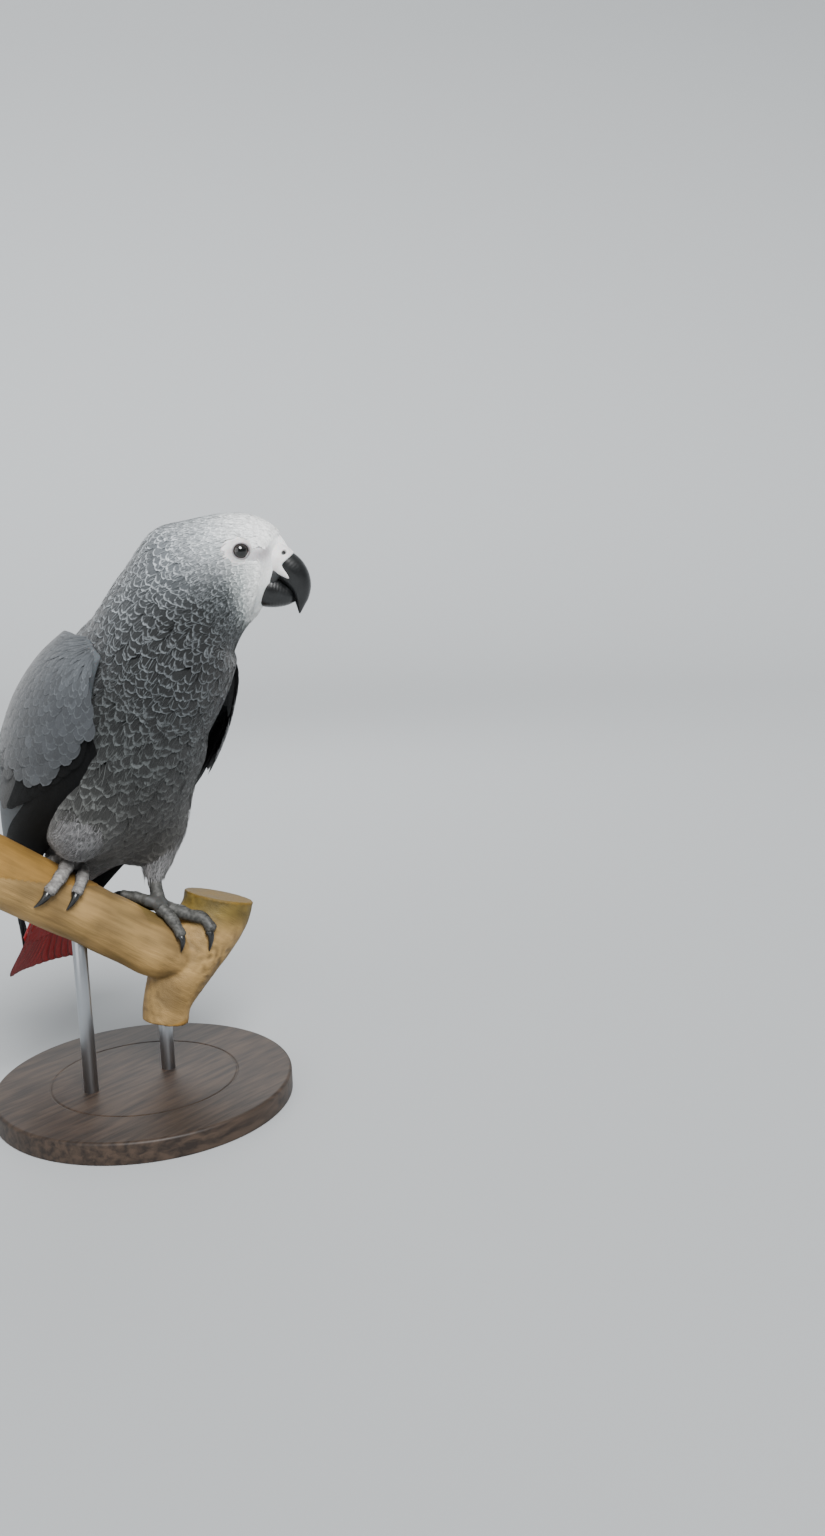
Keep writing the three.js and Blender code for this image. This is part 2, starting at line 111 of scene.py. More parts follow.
# Matt wall paint: one even pale grey with no gloss.
floor_paint, _ = material_of("matt_floor_paint", Base_Color=rgba("A6A9AB"), Roughness=0.9)
FLOOR_FLAT, FLOOR_RISE, FLOOR_SIDES = 2.4, 2.6, 96
bend = np.linspace(0, np.pi / 2, 24)
reach = np.concatenate([[0.001], FLOOR_FLAT + FLOOR_RISE * np.sin(bend)])
rise = np.concatenate([[0], FLOOR_RISE * (1 - np.cos(bend))])
spin = np.linspace(0, 2 * np.pi, FLOOR_SIDES, endpoint=False)
bowl = np.stack([np.multiply.outer(reach, np.cos(spin)), np.multiply.outer(reach, np.sin(spin)),
                 np.repeat(rise[:, None], FLOOR_SIDES, 1)], -1)
i, j = np.meshgrid(np.arange(len(reach) - 1), np.arange(FLOOR_SIDES), indexing="ij")
a, b = i * FLOOR_SIDES + j, i * FLOOR_SIDES + (j + 1) % FLOOR_SIDES
floor_mesh = bpy.data.meshes.new("floor")
floor_mesh.from_pydata(bowl.reshape(-1, 3), [],
                       [*np.stack([a, a + FLOOR_SIDES, b + FLOOR_SIDES, b], -1)
                        .reshape(-1, 4).tolist(), list(range(FLOOR_SIDES))])
floor_mesh.polygons.foreach_set("use_smooth", np.full(len(floor_mesh.polygons), True))
floor_mesh.materials.append(floor_paint)
floor = bpy.data.objects.new("floor", floor_mesh)
scene.collection.objects.link(floor)

# ---- Form of the bird ----------------------------------------------------------------------
# The smooth forms that the whole plumage lies on: head, neck and trunk as one loft of oval rings,
# a folded wing as a shell round the trunk, and the tail. Each is a function of a place along it
# and a turn round it, and is drawn inwards by `sunk` millimetres.
MM = 0.001
PERCH_TOP = np.array([0, 0, 132.0])
PERCH_RADIUS = 19.3
LEAN = np.radians(57)  # trunk axis over the horizontal
TRUNK = np.array([0, -4, 103.0])
EYES = np.array([24, -90, 216.0])
EYE_SPREAD = 16.6  # out from the middle plane
HEAD_TURN = np.radians(46)
HEAD_NOD = np.radians(-2)

trunk_up = np.array([0, -np.cos(LEAN), np.sin(LEAN)])
trunk_back = np.array([0, np.sin(LEAN), np.cos(LEAN)])
head_ahead = np.array([np.sin(HEAD_TURN) * np.cos(HEAD_NOD),
                       -np.cos(HEAD_TURN) * np.cos(HEAD_NOD), np.sin(HEAD_NOD)])
head_left = np.array([np.cos(HEAD_TURN), np.sin(HEAD_TURN), 0])
head_up = np.cross(head_ahead, head_left)


def on_trunk(along, back, left=0):
    """A trunk point: along its axis towards the head, out towards the back, to the left."""
    return (PERCH_TOP + TRUNK + np.multiply.outer(along, trunk_up)
            + np.multiply.outer(back, trunk_back) + np.multiply.outer(left, [1, 0, 0]))


def on_head(ahead, up, left=0):
    """A head point: ahead of the eyes, above them, to the head's left."""
    return (PERCH_TOP + EYES + np.multiply.outer(ahead, head_ahead)
            + np.multiply.outer(up, head_up) + np.multiply.outer(left, head_left))


# Each station: its topmost point, its lowest point, share of the head's turn, half width, and how
# far down from the top the widest place lies.
BODY = np.array([[*top, *low, *rest] for top, low, *rest in [
    (on_head(30.5, -1), on_head(12.5, -33.5), 1, 10.5, 0.5),  # face
    (on_head(27.5, 6.5), on_head(10.8, -36), 1, 14.5, 0.5),
    (on_head(20, 14.6), on_head(9, -38), 1, 18, 0.5),
    (on_head(8, 20.5), on_head(7, -40), 1, 20.8, 0.5),
    (on_head(-8, 21.3), on_head(4, -43), 1, 22.6, 0.5),  # crown
    (on_head(-26, 18), on_head(0, -49), 0.95, 24.5, 0.5),
    (on_head(-49, 11), on_head(-4, -58), 0.8, 28, 0.5),  # nape
    (on_trunk(101, 38, -3), on_trunk(85, -46, 13), 0.55, 36, 0.5),
    (on_trunk(74, 42, -2), on_trunk(60, -51, 5), 0.25, 45, 0.52),  # mantle
    (on_trunk(42, 53), on_trunk(30, -51), 0.08, 50, 0.52),
    (on_trunk(2, 60), on_trunk(-8, -49), 0, 51, 0.52),  # breast
    (on_trunk(-36, 54), on_trunk(-46, -43), 0, 47, 0.5),
    (on_trunk(-72, 41), on_trunk(-80, -27), 0, 35, 0.5),  # vent
    (on_trunk(-98, 27), on_trunk(-104, -14), 0, 22, 0.5),
    (on_trunk(-116, 17), on_trunk(-120, -6), 0, 15, 0.5),  # rump
]])
# Each row: along the trunk axis, centre off the axis, half width, half depth, the turns from the
# back where the shell starts and ends, how deep it is, and how far its edges are tucked in.
WING = np.array([
    [67, 3, 46, 42, 62, 94, 8, 0],
    [55, 4, 56, 51, 40, 106, 13, 1],
    [34, 5, 63, 61, 24, 116, 15, 6],
    [3, 6, 67, 67, 15, 121, 15, 10],
    [-34, 7, 65, 65, 11, 122, 14, 12],
    [-72, 7, 57, 55, 9, 109, 12, 8],
    [-108, 6, 45, 40, 12, 101, 9, 4],
    [-140, 6, 32, 23, 18, 92, 5, 1],
    [-167, 4, 22, 13, 24, 80, 3.5, 0],
    [-185, 2, 17, 9, 40, 72, 2.5, 0],
])
# Each row: along the trunk axis, off it, half width, half thickness, drop of the side edges.
TAIL = np.array([
    [-116.5, 5.5, 14.5, 10.8, 0],
    [-129, 4, 18, 8.4, 1],
    [-145, 2, 22, 5, 3],
    [-163, 0, 27, 2.6, 5],
    [-181, -1, 31, 1.5, 6],
    [-193, -2, 29, 1, 5],
])
TAIL_SWING = -6  # of its tip


def through(rows, t):
    """The smooth curve through a table's rows at t, in rows: the Catmull-Rom cubic of the four
    nearest, the ends carried on in a straight line."""
    last = len(rows) - 1
    padded = np.vstack([2 * rows[0] - rows[1], rows, 2 * rows[-1] - rows[-2]])
    t = np.asarray(t, float)
    i = np.clip(np.floor(t).astype(int), 0, last - 1)
    f = (t - i)[..., None]
    a, b, c, d = (padded[i + k] for k in range(4))
    return 0.5 * (2 * b + (c - a) * f + (2 * a - 5 * b + 4 * c - d) * f ** 2
                  + (3 * b - a - 3 * c + d) * f ** 3)


def body(place, turn, sunk=0):
    """An oval ring at a place in stations: its centre plus cos(turn) of its height up and
    sin(turn) of its half width to the left. Turn 0 is the back and pi the breast."""
    s = through(BODY, place)
    top, low, (share, half, wide) = s[..., :3], s[..., 3:6], np.moveaxis(s[..., 6:], -1, 0)
    up = top - low
    height = np.linalg.norm(up, axis=-1)
    up = up / height[..., None]
    way = share * HEAD_TURN
    side = np.stack([np.cos(way), np.sin(way), 0 * way], -1)
    side = unit(side - up * (side * up).sum(-1, keepdims=True))
    reach = np.where(np.cos(turn) > 0, wide, 1 - wide) * height
    return (top - up * (wide * height)[..., None]
            + up * ((reach - sunk) * np.cos(turn))[..., None]
            + side * ((half - sunk) * np.sin(turn))[..., None])


def wing_of(side):
    """The outer face of one folded wing: an arc round the trunk, its edges tucked in by the cube
    of their distance from its middle. Share 0 is its edge on the back, 1 its lower edge."""
    def wing(place, share, sunk=0):
        along, back, half, depth, start, end, _, tuck = np.moveaxis(through(WING, place), -1, 0)
        turn = np.radians(start + (end - start) * share)
        sunk = sunk + tuck * np.abs(2 * share - 1) ** 3
        return on_trunk(along, back + (depth - sunk) * np.cos(turn),
                        side * (half - sunk) * np.sin(turn))
    return wing


def tail(place, turn, sunk=0):
    """A flat oval ring of the tail, its sides drooping by the square of their distance out."""
    along, back, half, thick, drop = np.moveaxis(through(TAIL, place), -1, 0)
    swing = TAIL_SWING * place / (len(TAIL) - 1)
    out = np.sin(turn)
    return on_trunk(along, back + (thick - sunk) * np.cos(turn) - drop * out ** 2,
                    swing + (half - sunk) * out)


# ---- Perch ---------------------------------------------------------------------------------
# A debarked hardwood branch, cut off just past the fork where it left its stem: smooth tan wood
# with drying cracks, knots and wrinkles at the fork, and three sawn ends. Both limbs are tubes
# of rings joined into one solid, then roughened outwards and inwards by bands of noise.
PERCH_SLOPE = np.radians(35)  # down towards the bird's left
PERCH_TURN = np.radians(18)  # its left end forwards
PERCH_START = -122
BRANCH_STEP = 23.5
BRANCH = [20.6, 20.2, 19.8, 19.5, PERCH_RADIUS, PERCH_RADIUS, 19.5, 13]
FORK = [(18, -62, 15), (21, -48, 16), (31, -30, 20), (49, -8, 22.5), (59, 5, 23), (62, 15, 23)]
FORK_BACK = 4
PERCH_VOXEL = 1.1
SAWN_DEPTH = 1.5  # of the wood that a cut end smooths
GRAIN_STRETCH = 7  # how much longer the grain's ripples are than wide
STUB_GREEN = 60  # how far the moss reaches from the cut stub

perch_along = np.array([np.cos(PERCH_SLOPE) * np.cos(PERCH_TURN),
                        -np.cos(PERCH_SLOPE) * np.sin(PERCH_TURN), -np.sin(PERCH_SLOPE)])
perch_front = np.array([-np.sin(PERCH_TURN), -np.cos(PERCH_TURN), 0])
perch_up = np.cross(perch_front, perch_along)
perch_up *= np.sign(perch_up[2])
perch_middle = PERCH_TOP - [0, 0, PERCH_RADIUS / np.cos(PERCH_SLOPE)]


def on_perch(place, turn, radius):
    """A point about the perch: place along it, turn from its top towards the front, radius."""
    return (perch_middle + np.multiply.outer(place, perch_along)
            + np.multiply.outer(radius * np.cos(turn), perch_up)
            + np.multiply.outer(radius * np.sin(turn), perch_front))


def tube(rows, guide):
    """A round tube through rows of [x, y, z, radius]: the smooth curve plus the radius turned
    round its heading, starting from the way square to it that lies nearest the guide."""
    rows = np.asarray(rows, float)

    def surface(place, turn, sunk=0):
        x = through(rows, place)
        heading = unit((through(rows, place + 0.02) - through(rows, place - 0.02))[..., :3])
        across = unit(guide - heading * (heading @ guide)[..., None])
        over = np.cross(heading, across)
        reach = (x[..., 3] - sunk)[..., None]
        return x[..., :3] + reach * (across * np.cos(turn)[..., None]
                                     + over * np.sin(turn)[..., None])
    return surface


def mesh_of(name, points, faces, materials):
    """A smooth-shaded mesh piece from points in millimetres and a list of arrays of faces, with
    its object at the origin."""
    mesh = bpy.data.meshes.new(name)
    corners = np.concatenate([np.ravel(f) for f in faces]).astype(np.int32)
    sizes = np.concatenate([np.full(len(f), f.shape[1]) for f in faces])
    mesh.vertices.add(len(points))
    mesh.vertices.foreach_set("co", np.asarray(points * MM, np.float32).ravel())
    mesh.loops.add(len(corners))
    mesh.loops.foreach_set("vertex_index", corners)
    mesh.polygons.add(len(sizes))
    mesh.polygons.foreach_set("loop_start", (np.cumsum(sizes) - sizes).astype(np.int32))
    mesh.update(calc_edges=True)
    mesh.polygons.foreach_set("use_smooth", np.full(len(sizes), True))
    for material in materials:
        mesh.materials.append(material)
    made = bpy.data.objects.new(name, mesh)
    scene.collection.objects.link(made)
    return made


def loft_faces(count, sides):
    """The faces of a loft of this many rings: quads between them, fans at both ends. The point
    after the last ring is the first end's middle and the next the last end's."""
    i, j = np.meshgrid(np.arange(count - 1), np.arange(sides), indexing="ij")
    a, b = i * sides + j, i * sides + (j + 1) % sides
    k, end = np.arange(sides), (count - 1) * sides
    n = (k + 1) % sides
    return [np.stack([a, b, b + sides, a + sides], -1).reshape(-1, 4),
            np.vstack([np.stack([n, k, np.full(sides, count * sides)], -1),
                       np.stack([end + k, end + n, np.full(sides, count * sides + 1)], -1)])]


def loft(rings):
    """Points and faces of a closed solid through rings of points, its ends filled to a middle,
    turned outwards where the volume inside, a sum of a . (b x c) / 6, comes out below zero."""
    quads, fans = faces = loft_faces(*rings.shape[:2])
    points = np.vstack([rings.reshape(-1, 3), rings[0].mean(0), rings[-1].mean(0)])
    tris = np.vstack([quads[:, :3], quads[:, [0, 2, 3]], fans])
    a, b, c = (points - points.mean(0))[tris.T]
    inward = (a * np.cross(b, c)).sum() < 0
    return points, [f[:, ::-1] for f in faces] if inward else faces


def gathered(parts):
    """Several (points, faces) as one."""
    starts = np.cumsum([0] + [len(points) for points, _ in parts])
    return (np.vstack([points for points, _ in parts]),
            [f + start for (_, faces), start in zip(parts, starts) for f in faces])


def united(name, parts, voxel, rounds):
    """Closed solids as one skin: their volume is filled with cubes `voxel` millimetres wide, its
    surface drawn anew and smoothed a few rounds. Returns points in millimetres and quads."""
    rough = mesh_of(name + "_rough", *gathered(parts), [])
    remesh = rough.modifiers.new("remesh", "REMESH")
    remesh.mode = "VOXEL"
    remesh.voxel_size = voxel * MM
    relax = rough.modifiers.new("relax", "SMOOTH")
    relax.factor = 0.5
    relax.iterations = rounds
    drawn = rough.evaluated_get(bpy.context.evaluated_depsgraph_get()).to_mesh()
    points = np.empty(len(drawn.vertices) * 3)
    drawn.vertices.foreach_get("co", points)
    corners = np.empty(len(drawn.loops), int)
    drawn.loops.foreach_get("vertex_index", corners)
    bpy.data.objects.remove(rough)
    return points.reshape(-1, 3) / MM, corners.reshape(-1, 4)


def rings_of(surface, places, sides, **more):
    """A surface's rings at these places, each of evenly spaced turns."""
    turns = np.linspace(0, 2 * np.pi, sides, endpoint=False)
    return surface(*np.meshgrid(places, turns, indexing="ij"), **more)


def smooth(t):
    """The smoothstep of t held between 0 and 1: t^2 (3 - 2 t)."""
    t = np.clip(t, 0, 1)
    return t * t * (3 - 2 * t)


LATTICE_VALUES = 4096
LATTICE_PRIMES = [73856093, 19349663, 83492791]  # spread a cell's number over the values


def lattice_noise(points, size, seed):
    """Smooth noise from -1 to 1: random values on a cubic lattice `size` wide, blended by the
    smoothstep of the place within each cell."""
    table = np.random.default_rng(seed).uniform(-1, 1, LATTICE_VALUES)
    cell = np.floor(points / size).astype(int)
    f = smooth(points / size - cell)
    total = 0
    for corner in np.ndindex(2, 2, 2):
        key = ((cell + corner) * LATTICE_PRIMES).sum(-1) % LATTICE_VALUES
        total = total + table[key] * np.where(corner, f, 1 - f).prod(-1)
    return total


def normals_of(points, quads):
    """Outward normals at the points of a quad mesh: the sum of its faces' area vectors."""
    a, b, c, d = points[quads.T]
    area = np.cross(c - a, d - b)
    total = np.stack([np.bincount(quads.ravel(), np.repeat(area[:, k], 4), len(points))
                      for k in range(3)], -1)
    return unit(total)


def bell(points, middle, spread):
    """1 at a spot, falling off around it as exp(-distance^2 / spread)."""
    return np.exp(-np.linalg.norm(points - middle, axis=-1) ** 2 / spread)


branch_rows = np.array([[*on_perch(PERCH_START + i * BRANCH_STEP, 0, 0.0), radius]
                        for i, radius in enumerate(BRANCH)])
level_along = unit(perch_along * [1, 1, 0])
fork_rows = np.array([[*(perch_middle + [0, 0, up] + level_along * out - perch_front * FORK_BACK),
                       radius] for out, up, radius in FORK])
wood_points, wood_quads = united("perch", [
    loft(rings_of(tube(branch_rows, perch_up), np.linspace(0, len(BRANCH) - 1, 60), 48)),
    loft(rings_of(tube(fork_rows, perch_along), np.linspace(0, len(FORK) - 1, 40), 48)),
], PERCH_VOXEL, 3)
wood_normals = normals_of(wood_points, wood_quads)
lying = wood_points - perch_middle
grain = np.stack([lying @ perch_along / GRAIN_STRETCH, lying @ perch_up, lying @ perch_front], -1)
near_stub = wood_points - fork_rows[-1, :3]
stub_axis = unit(fork_rows[-1, :3] - fork_rows[-2, :3])
sawn = np.abs(lying @ perch_along - PERCH_START) < SAWN_DEPTH
sawn |= wood_points[:, 2] < fork_rows[0, 2] + SAWN_DEPTH
sawn |= near_stub @ stub_axis > -SAWN_DEPTH
knots = (bell(wood_points, on_perch(52, 1.2, 22.0), 90)
         + 0.8 * bell(wood_points, on_perch(-92, 0.9, 20.0), 50))
wrinkles = bell(wood_points, on_perch(50, 0.6, 16.0), 500)
relief = (0.35 * lattice_noise(wood_points, 14, 3) + 0.16 * lattice_noise(grain, 2.6, 4)
          + 0.30 * wrinkles * lattice_noise(wood_points, 3.2, 5) - 0.25
          + knots * (0.6 - 1.5 * np.abs(lattice_noise(wood_points, 4.5, 6))))
relief = np.where(sawn, 0.05 * lattice_noise(wood_points, 1.8, 7), np.minimum(relief, 0.35))
wood_points = wood_points + wood_normals * relief[:, None]


def add(material, kind, feeds=None, stops=(), **settings):
    """Adds one shader node. settings are its properties; feeds gives each socket, by name or
    number, a value or the output that feeds it; stops are a ramp's places and colour codes."""
    made = material.node_tree.nodes.new("ShaderNode" + kind)
    for key, value in settings.items():
        setattr(made, key, value)
    for key, value in (feeds or {}).items():
        if isinstance(value, bpy.types.NodeSocket):
            material.node_tree.links.new(value, made.inputs[key])
        else:
            made.inputs[key].default_value = value
    for i, (spot, code) in enumerate(stops):
        if i > 1:
            made.color_ramp.elements.new(spot)
        made.color_ramp.elements[i].position = spot
        made.color_ramp.elements[i].color = rgba(code)
    return made


def feed(shader, **outputs):
    """Links outputs to a shader's sockets, underscores for spaces."""
    for key, output in outputs.items():
        shader.id_data.links.new(output, shader.inputs[key.replace("_", " ")])


def cells(size):
    """A pattern's scale from the width of its cells in millimetres."""
    return 1 / (size * MM)


# Debarked hardwood, dried and rubbed by feet: satin tan with fibres 2.4 mm apart drawn out along
# the limb, darker weathered patches 26 mm across, and a duller shine where it is worn.
peeled, shader = material_of("peeled_branch_wood", Roughness=0.62, Specular_IOR_Level=0.35)
where = add(peeled, "TexCoord").outputs["Object"]
turned = add(peeled, "Mapping", {"Vector": where, "Rotation": (0, PERCH_SLOPE, -PERCH_TURN)},
             vector_type="TEXTURE").outputs[0]
fibres = add(peeled, "Mapping", {"Vector": turned, "Scale": (0.08, 1, 1)}).outputs[0]
streak = add(peeled, "TexNoise", {"Vector": fibres, "Scale": cells(2.38), "Detail": 6,
                                  "Roughness": 0.6}).outputs[0]
patch = add(peeled, "TexNoise", {"Vector": turned, "Scale": cells(26.3), "Detail": 4}).outputs[0]
fleck = add(peeled, "TexNoise", {"Vector": fibres, "Scale": cells(0.667), "Detail": 2}).outputs[0]
tan = add(peeled, "ValToRGB", {"Fac": streak}, [(0.3, "82673A"), (0.66, "A38452")]).outputs[0]
weathered = add(peeled, "ValToRGB", {"Fac": patch}, [(0.36, "7B6640"), (0.62, "B08F5B")]).outputs[0]
blend = add(peeled, "Mix", {"Factor": 0.45, "A": tan, "B": weathered}, data_type="RGBA")
# The mesh's colour layer: paler sawn ends and moss by the stub, and painted shade in the cracks.
stain_and_shade = add(peeled, "VertexColor", layer_name="stain_and_shade").outputs[0]
tinted_and_shaded = add(peeled, "Mix", {"Factor": 1.0, "A": blend.outputs["Result"], "B": stain_and_shade},
             data_type="RGBA", blend_type="MULTIPLY")
rub = add(peeled, "MapRange", {"Value": patch, "To Min": 0.48, "To Max": 0.75})
height = add(peeled, "Math", {0: streak, 1: fleck}, operation="ADD")
bump = add(peeled, "Bump", {"Height": height.outputs[0], "Strength": 0.5, "Distance": 0.6 * MM})
feed(shader, Base_Color=tinted_and_shaded.outputs["Result"], Roughness=rub.outputs[0], Normal=bump.outputs[0])


def paint(piece, layer, colours):
    """Writes one linear colour for each vertex into a colour attribute."""
    made = piece.data.attributes.new(layer, "FLOAT_COLOR", "POINT")
    full = np.ones((len(colours), 4), np.float32)
    full[:, :3] = colours
    made.data.foreach_set("color", full.ravel())


def put(piece, slot, *nodes):
    """Hands a finished piece to the frame: it rides on the one body, in place of these nodes."""
    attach(piece, "root")
    if nodes:
        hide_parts(*nodes)


perch = mesh_of("perch_branch", wood_points, [wood_quads], [peeled])
green = np.clip(near_stub @ stub_axis / 14 + 1.6, 0, 1)[:, None]
green = green * (np.linalg.norm(near_stub, axis=-1) < STUB_GREEN)[:, None]
# Painted shade: the wood is darkened in its cracks, knots and hollows, as deep as its relief sinks.
crevice_shade = np.clip(-relief * 1.1, 0, 0.55)[:, None] * (1 - sawn[:, None])
paint(perch, "stain_and_shade", np.where(sawn[:, None], linear("D9CDA8"), 1.0)
      * (1 + green * (linear("C9D0A0") - 1)) * (1 - crevice_shade))
put(perch, "bare_wood", "perch")

# ---- Stand ---------------------------------------------------------------------------------
# A display stand: a flat round base turned in dark stained beech with softened rims, and two
# ground steel rods let into it, one up into the branch and one into the cut end of its stem.
BASE_RADIUS = 95
BASE_HEIGHT = 14
BASE_ROUND = 2.0
ROD_RADIUS = 4.5
ROD_BEVEL = 0.4


def turned_solid(profile, sides):
    """A closed solid of revolution about Z through (radius, height) points, from low to high."""
    turns = np.linspace(0, 2 * np.pi, sides, endpoint=False)
    radius, height = profile[:, 0], profile[:, 1]
    return loft(np.stack([np.multiply.outer(radius, np.cos(turns)),
                          np.multiply.outer(radius, np.sin(turns)),
                          np.repeat(height[:, None], sides, 1)], -1))


# Beech stained dark walnut brown under a thin oil: fine lengthways grain, a soft low shine.
beech, shader = material_of("stained_beech", Roughness=0.5, Specular_IOR_Level=0.3)
where = add(beech, "TexCoord").outputs["Object"]
board = add(beech, "Mapping", {"Vector": where, "Scale": (0.12, 1, 1)}).outputs[0]
lines = add(beech, "TexNoise", {"Vector": board, "Scale": cells(3.85), "Detail": 5,
                                "Distortion": 0.4}).outputs[0]
stained = add(beech, "ValToRGB", {"Fac": lines}, [(0.35, "231C18"), (0.65, "40342B")])
pores = add(beech, "Bump", {"Height": lines, "Strength": 0.25, "Distance": 0.4 * MM})
feed(shader, Base_Color=stained.outputs[0], Normal=pores.outputs[0])

# Radius and height, from the middle of the under side out, up the rim and back in over the groove.
rounding = np.linspace(0, np.pi / 2, 7)
corner = BASE_ROUND * np.stack([np.sin(rounding) - 1, 1 - np.cos(rounding)], -1)
low_rim = corner * 0.5 + [BASE_RADIUS, 0]
high_rim = corner[::-1] * [1, -1] + [BASE_RADIUS, BASE_HEIGHT]
groove = np.array([[60.8, 0], [60.3, 0], [59.9, -0.3], [59.4, -0.6], [58.9, -0.3], [58.5, 0],
                   [58, 0]])
profile = np.vstack([[20, 0], [92, 0], low_rim, high_rim, [92.4, BASE_HEIGHT],
                     groove + [0, BASE_HEIGHT], [20, BASE_HEIGHT]])
base = mesh_of("stand_base_turned", *turned_solid(profile, 160), [beech])
put(base, "stand_wood", "stand_base")

# Steel rod ground round: bright, with faint rings where the wheel left it a little duller.
steel, shader = material_of("ground_steel", Base_Color=rgba("A9ACB0"), Metallic=1.0, Roughness=0.3)
where = add(steel, "TexCoord").outputs["Object"]
rings = add(steel, "Mapping", {"Vector": where, "Scale": (1, 1, 40)}).outputs[0]
marks = add(steel, "TexNoise", {"Vector": rings, "Scale": cells(11.1), "Detail": 3})
gloss = add(steel, "MapRange", {"Value": marks.outputs[0], "To Min": 0.24, "To Max": 0.42})
feed(shader, Roughness=gloss.outputs[0])
for name in ("stand_rod_1", "stand_rod_2"):
    low, high = (np.array(corner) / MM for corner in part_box(name))
    profile = np.array([[ROD_RADIUS - ROD_BEVEL, low[2]], [ROD_RADIUS, low[2] + ROD_BEVEL],
                        [ROD_RADIUS, high[2] - ROD_BEVEL], [ROD_RADIUS - ROD_BEVEL, high[2]]])
    points, faces = turned_solid(profile, 40)
    rod = mesh_of(name + "_ground", points + [*(low + high)[:2] / 2, 0], faces, [steel])
    put(rod, "stand_steel", name)

# ---- Legs and feet -------------------------------------------------------------------------
# Short shanks and two toes forwards and two back, each wrapped round the branch. They are tubes
# that swell at each joint and run into the skin; the toes lie on the bark as felt from outside.
# Each foot: name, side, place along the perch, how far it is turned outwards, and the knee along
# the trunk's axis, towards the back and outwards. Each toe: name, root and tip outwards and ahead
# of the sole, radius.
FEET = [("left", 1, 4, np.radians(46), (-48, -26, 31)),
        ("right", -1, -60, np.radians(4), (-40, -30, 40))]
TOES = [("front_outer", (5, 4), (12, 33), 4.6), ("front_inner", (-5, 4), (-4, 25), 4.2),
        ("back_outer", (5, -5.5), (11, -32), 4.4), ("back_inner", (-5, -6), (-6, -22), 3.9)]
TOE_TAPER = 0.24
CLAW_LENGTH, CLAW_RADIUS, CLAW_TIP, CLAW_SPLAY = 8, 2.3, 0.4, 1.1
ANKLE = np.array([5, 9, 15])
SOLE_HEIGHT = 5.8
LONG_TOE = 30  # past this the tip's reach gives a toe three joints, not two
TOE_SWELL = 0.07
GAP = 0.3  # between toe and bark
BARK_REACH, FEELER_STEPS = 60.0, 40

along_limbs = np.linspace(0, 1, 160)
bark_balls = np.vstack([through(rows, along_limbs * (len(rows) - 1))
                        for rows in (branch_rows, fork_rows)])


def bark_radius(place, turn):
    """From the branch's axis out to its bark: a feeler comes in from outside by its distance to
    the nearest of many balls along both limbs, until it touches."""
    reach = np.full(np.shape(place), BARK_REACH)
    for _ in range(FEELER_STEPS):
        feeler = on_perch(place, turn, reach)
        gap = np.linalg.norm(feeler[..., None, :] - bark_balls[:, :3], axis=-1) - bark_balls[:, 3]
        reach = reach - gap.min(-1)
    return reach


def wrapped(foot, start, end):
    """Rows of a toe lying round the branch between two spots [outwards, ahead, radius] of a foot,
    bridging the hollow of the fork."""
    _, side, place, yaw, _ = foot
    t = np.linspace(0, 1, 5)
    out, ahead, radius = (np.array(start)[:, None] * (1 - t) + np.array(end)[:, None] * t)
    along = place + side * (out * np.cos(yaw) + ahead * np.sin(yaw))
    turn = (ahead * np.cos(yaw) - out * np.sin(yaw)) / (PERCH_RADIUS + radius)
    reach = bark_radius(along, turn) + GAP + radius
    reach = np.maximum(reach, reach[0] * (1 - t) + reach[-1] * t)
    return np.hstack([np.stack([on_perch(*spot) for spot in zip(along, turn, reach)]),
                      radius[:, None]])


def knuckled(rows, joints, swell):
    """The same rows drawn finer, their radius swelling at each joint as cosine waves do."""
    t = np.linspace(0, len(rows) - 1, 25)
    fine = through(rows, t)
    fine[:, 3] *= 1 + swell * np.cos(2 * np.pi * joints * t / t[-1])
    return fine


toe_rows, claw_rows, thighs, shanks = {}, {}, {}, {}
for foot in FEET:
    name, side, place, _, (knee_along, knee_back, knee_out) = foot
    sole = on_perch(place, 0.0, bark_radius(place, 0.0) + SOLE_HEIGHT)
    ankle = sole + ANKLE * [side, 1, 1]
    knee = on_trunk(knee_along, knee_back, side * knee_out)
    shanks[name] = np.array([[*(ankle * 0.88 + knee * 0.12), 3.8], [*ankle, 4.6],
                             [*(ankle + sole) / 2, 4.1], [*sole, 5]])
    thighs[name] = np.array([[*on_trunk(-18, -12, side * 27), 16], [*knee, 15.6],
                             [*(ankle * 0.55 + knee * 0.45), 11.6], [*ankle, 6.4]])
    for toe, root, tip, radius in TOES:
        tip_radius = radius * (1 - TOE_TAPER)
        reach = np.sign(tip[1]) * CLAW_LENGTH
        rows = wrapped(foot, (*root, radius), (*tip, tip_radius))
        toe_rows[toe, name] = knuckled(rows, 3 if abs(tip[1]) > LONG_TOE else 2, TOE_SWELL)
        claw_rows[toe, name] = wrapped(foot, (*tip, CLAW_RADIUS),
                                       (tip[0] * CLAW_SPLAY, tip[1] + reach, CLAW_TIP))


def rounded_end(rows):
    """A tube's rows with a domed end: three more rows that close in as a quarter circle."""
    onward = unit(rows[-1, :3] - rows[-2, :3])
    bow = np.radians([30, 60, 80])
    radius = rows[-1, 3]
    dome = rows[-1, :3] + np.multiply.outer(np.sin(bow) * radius * 0.6, onward)
    return np.vstack([rows, np.hstack([dome, (radius * np.cos(bow))[:, None]])])


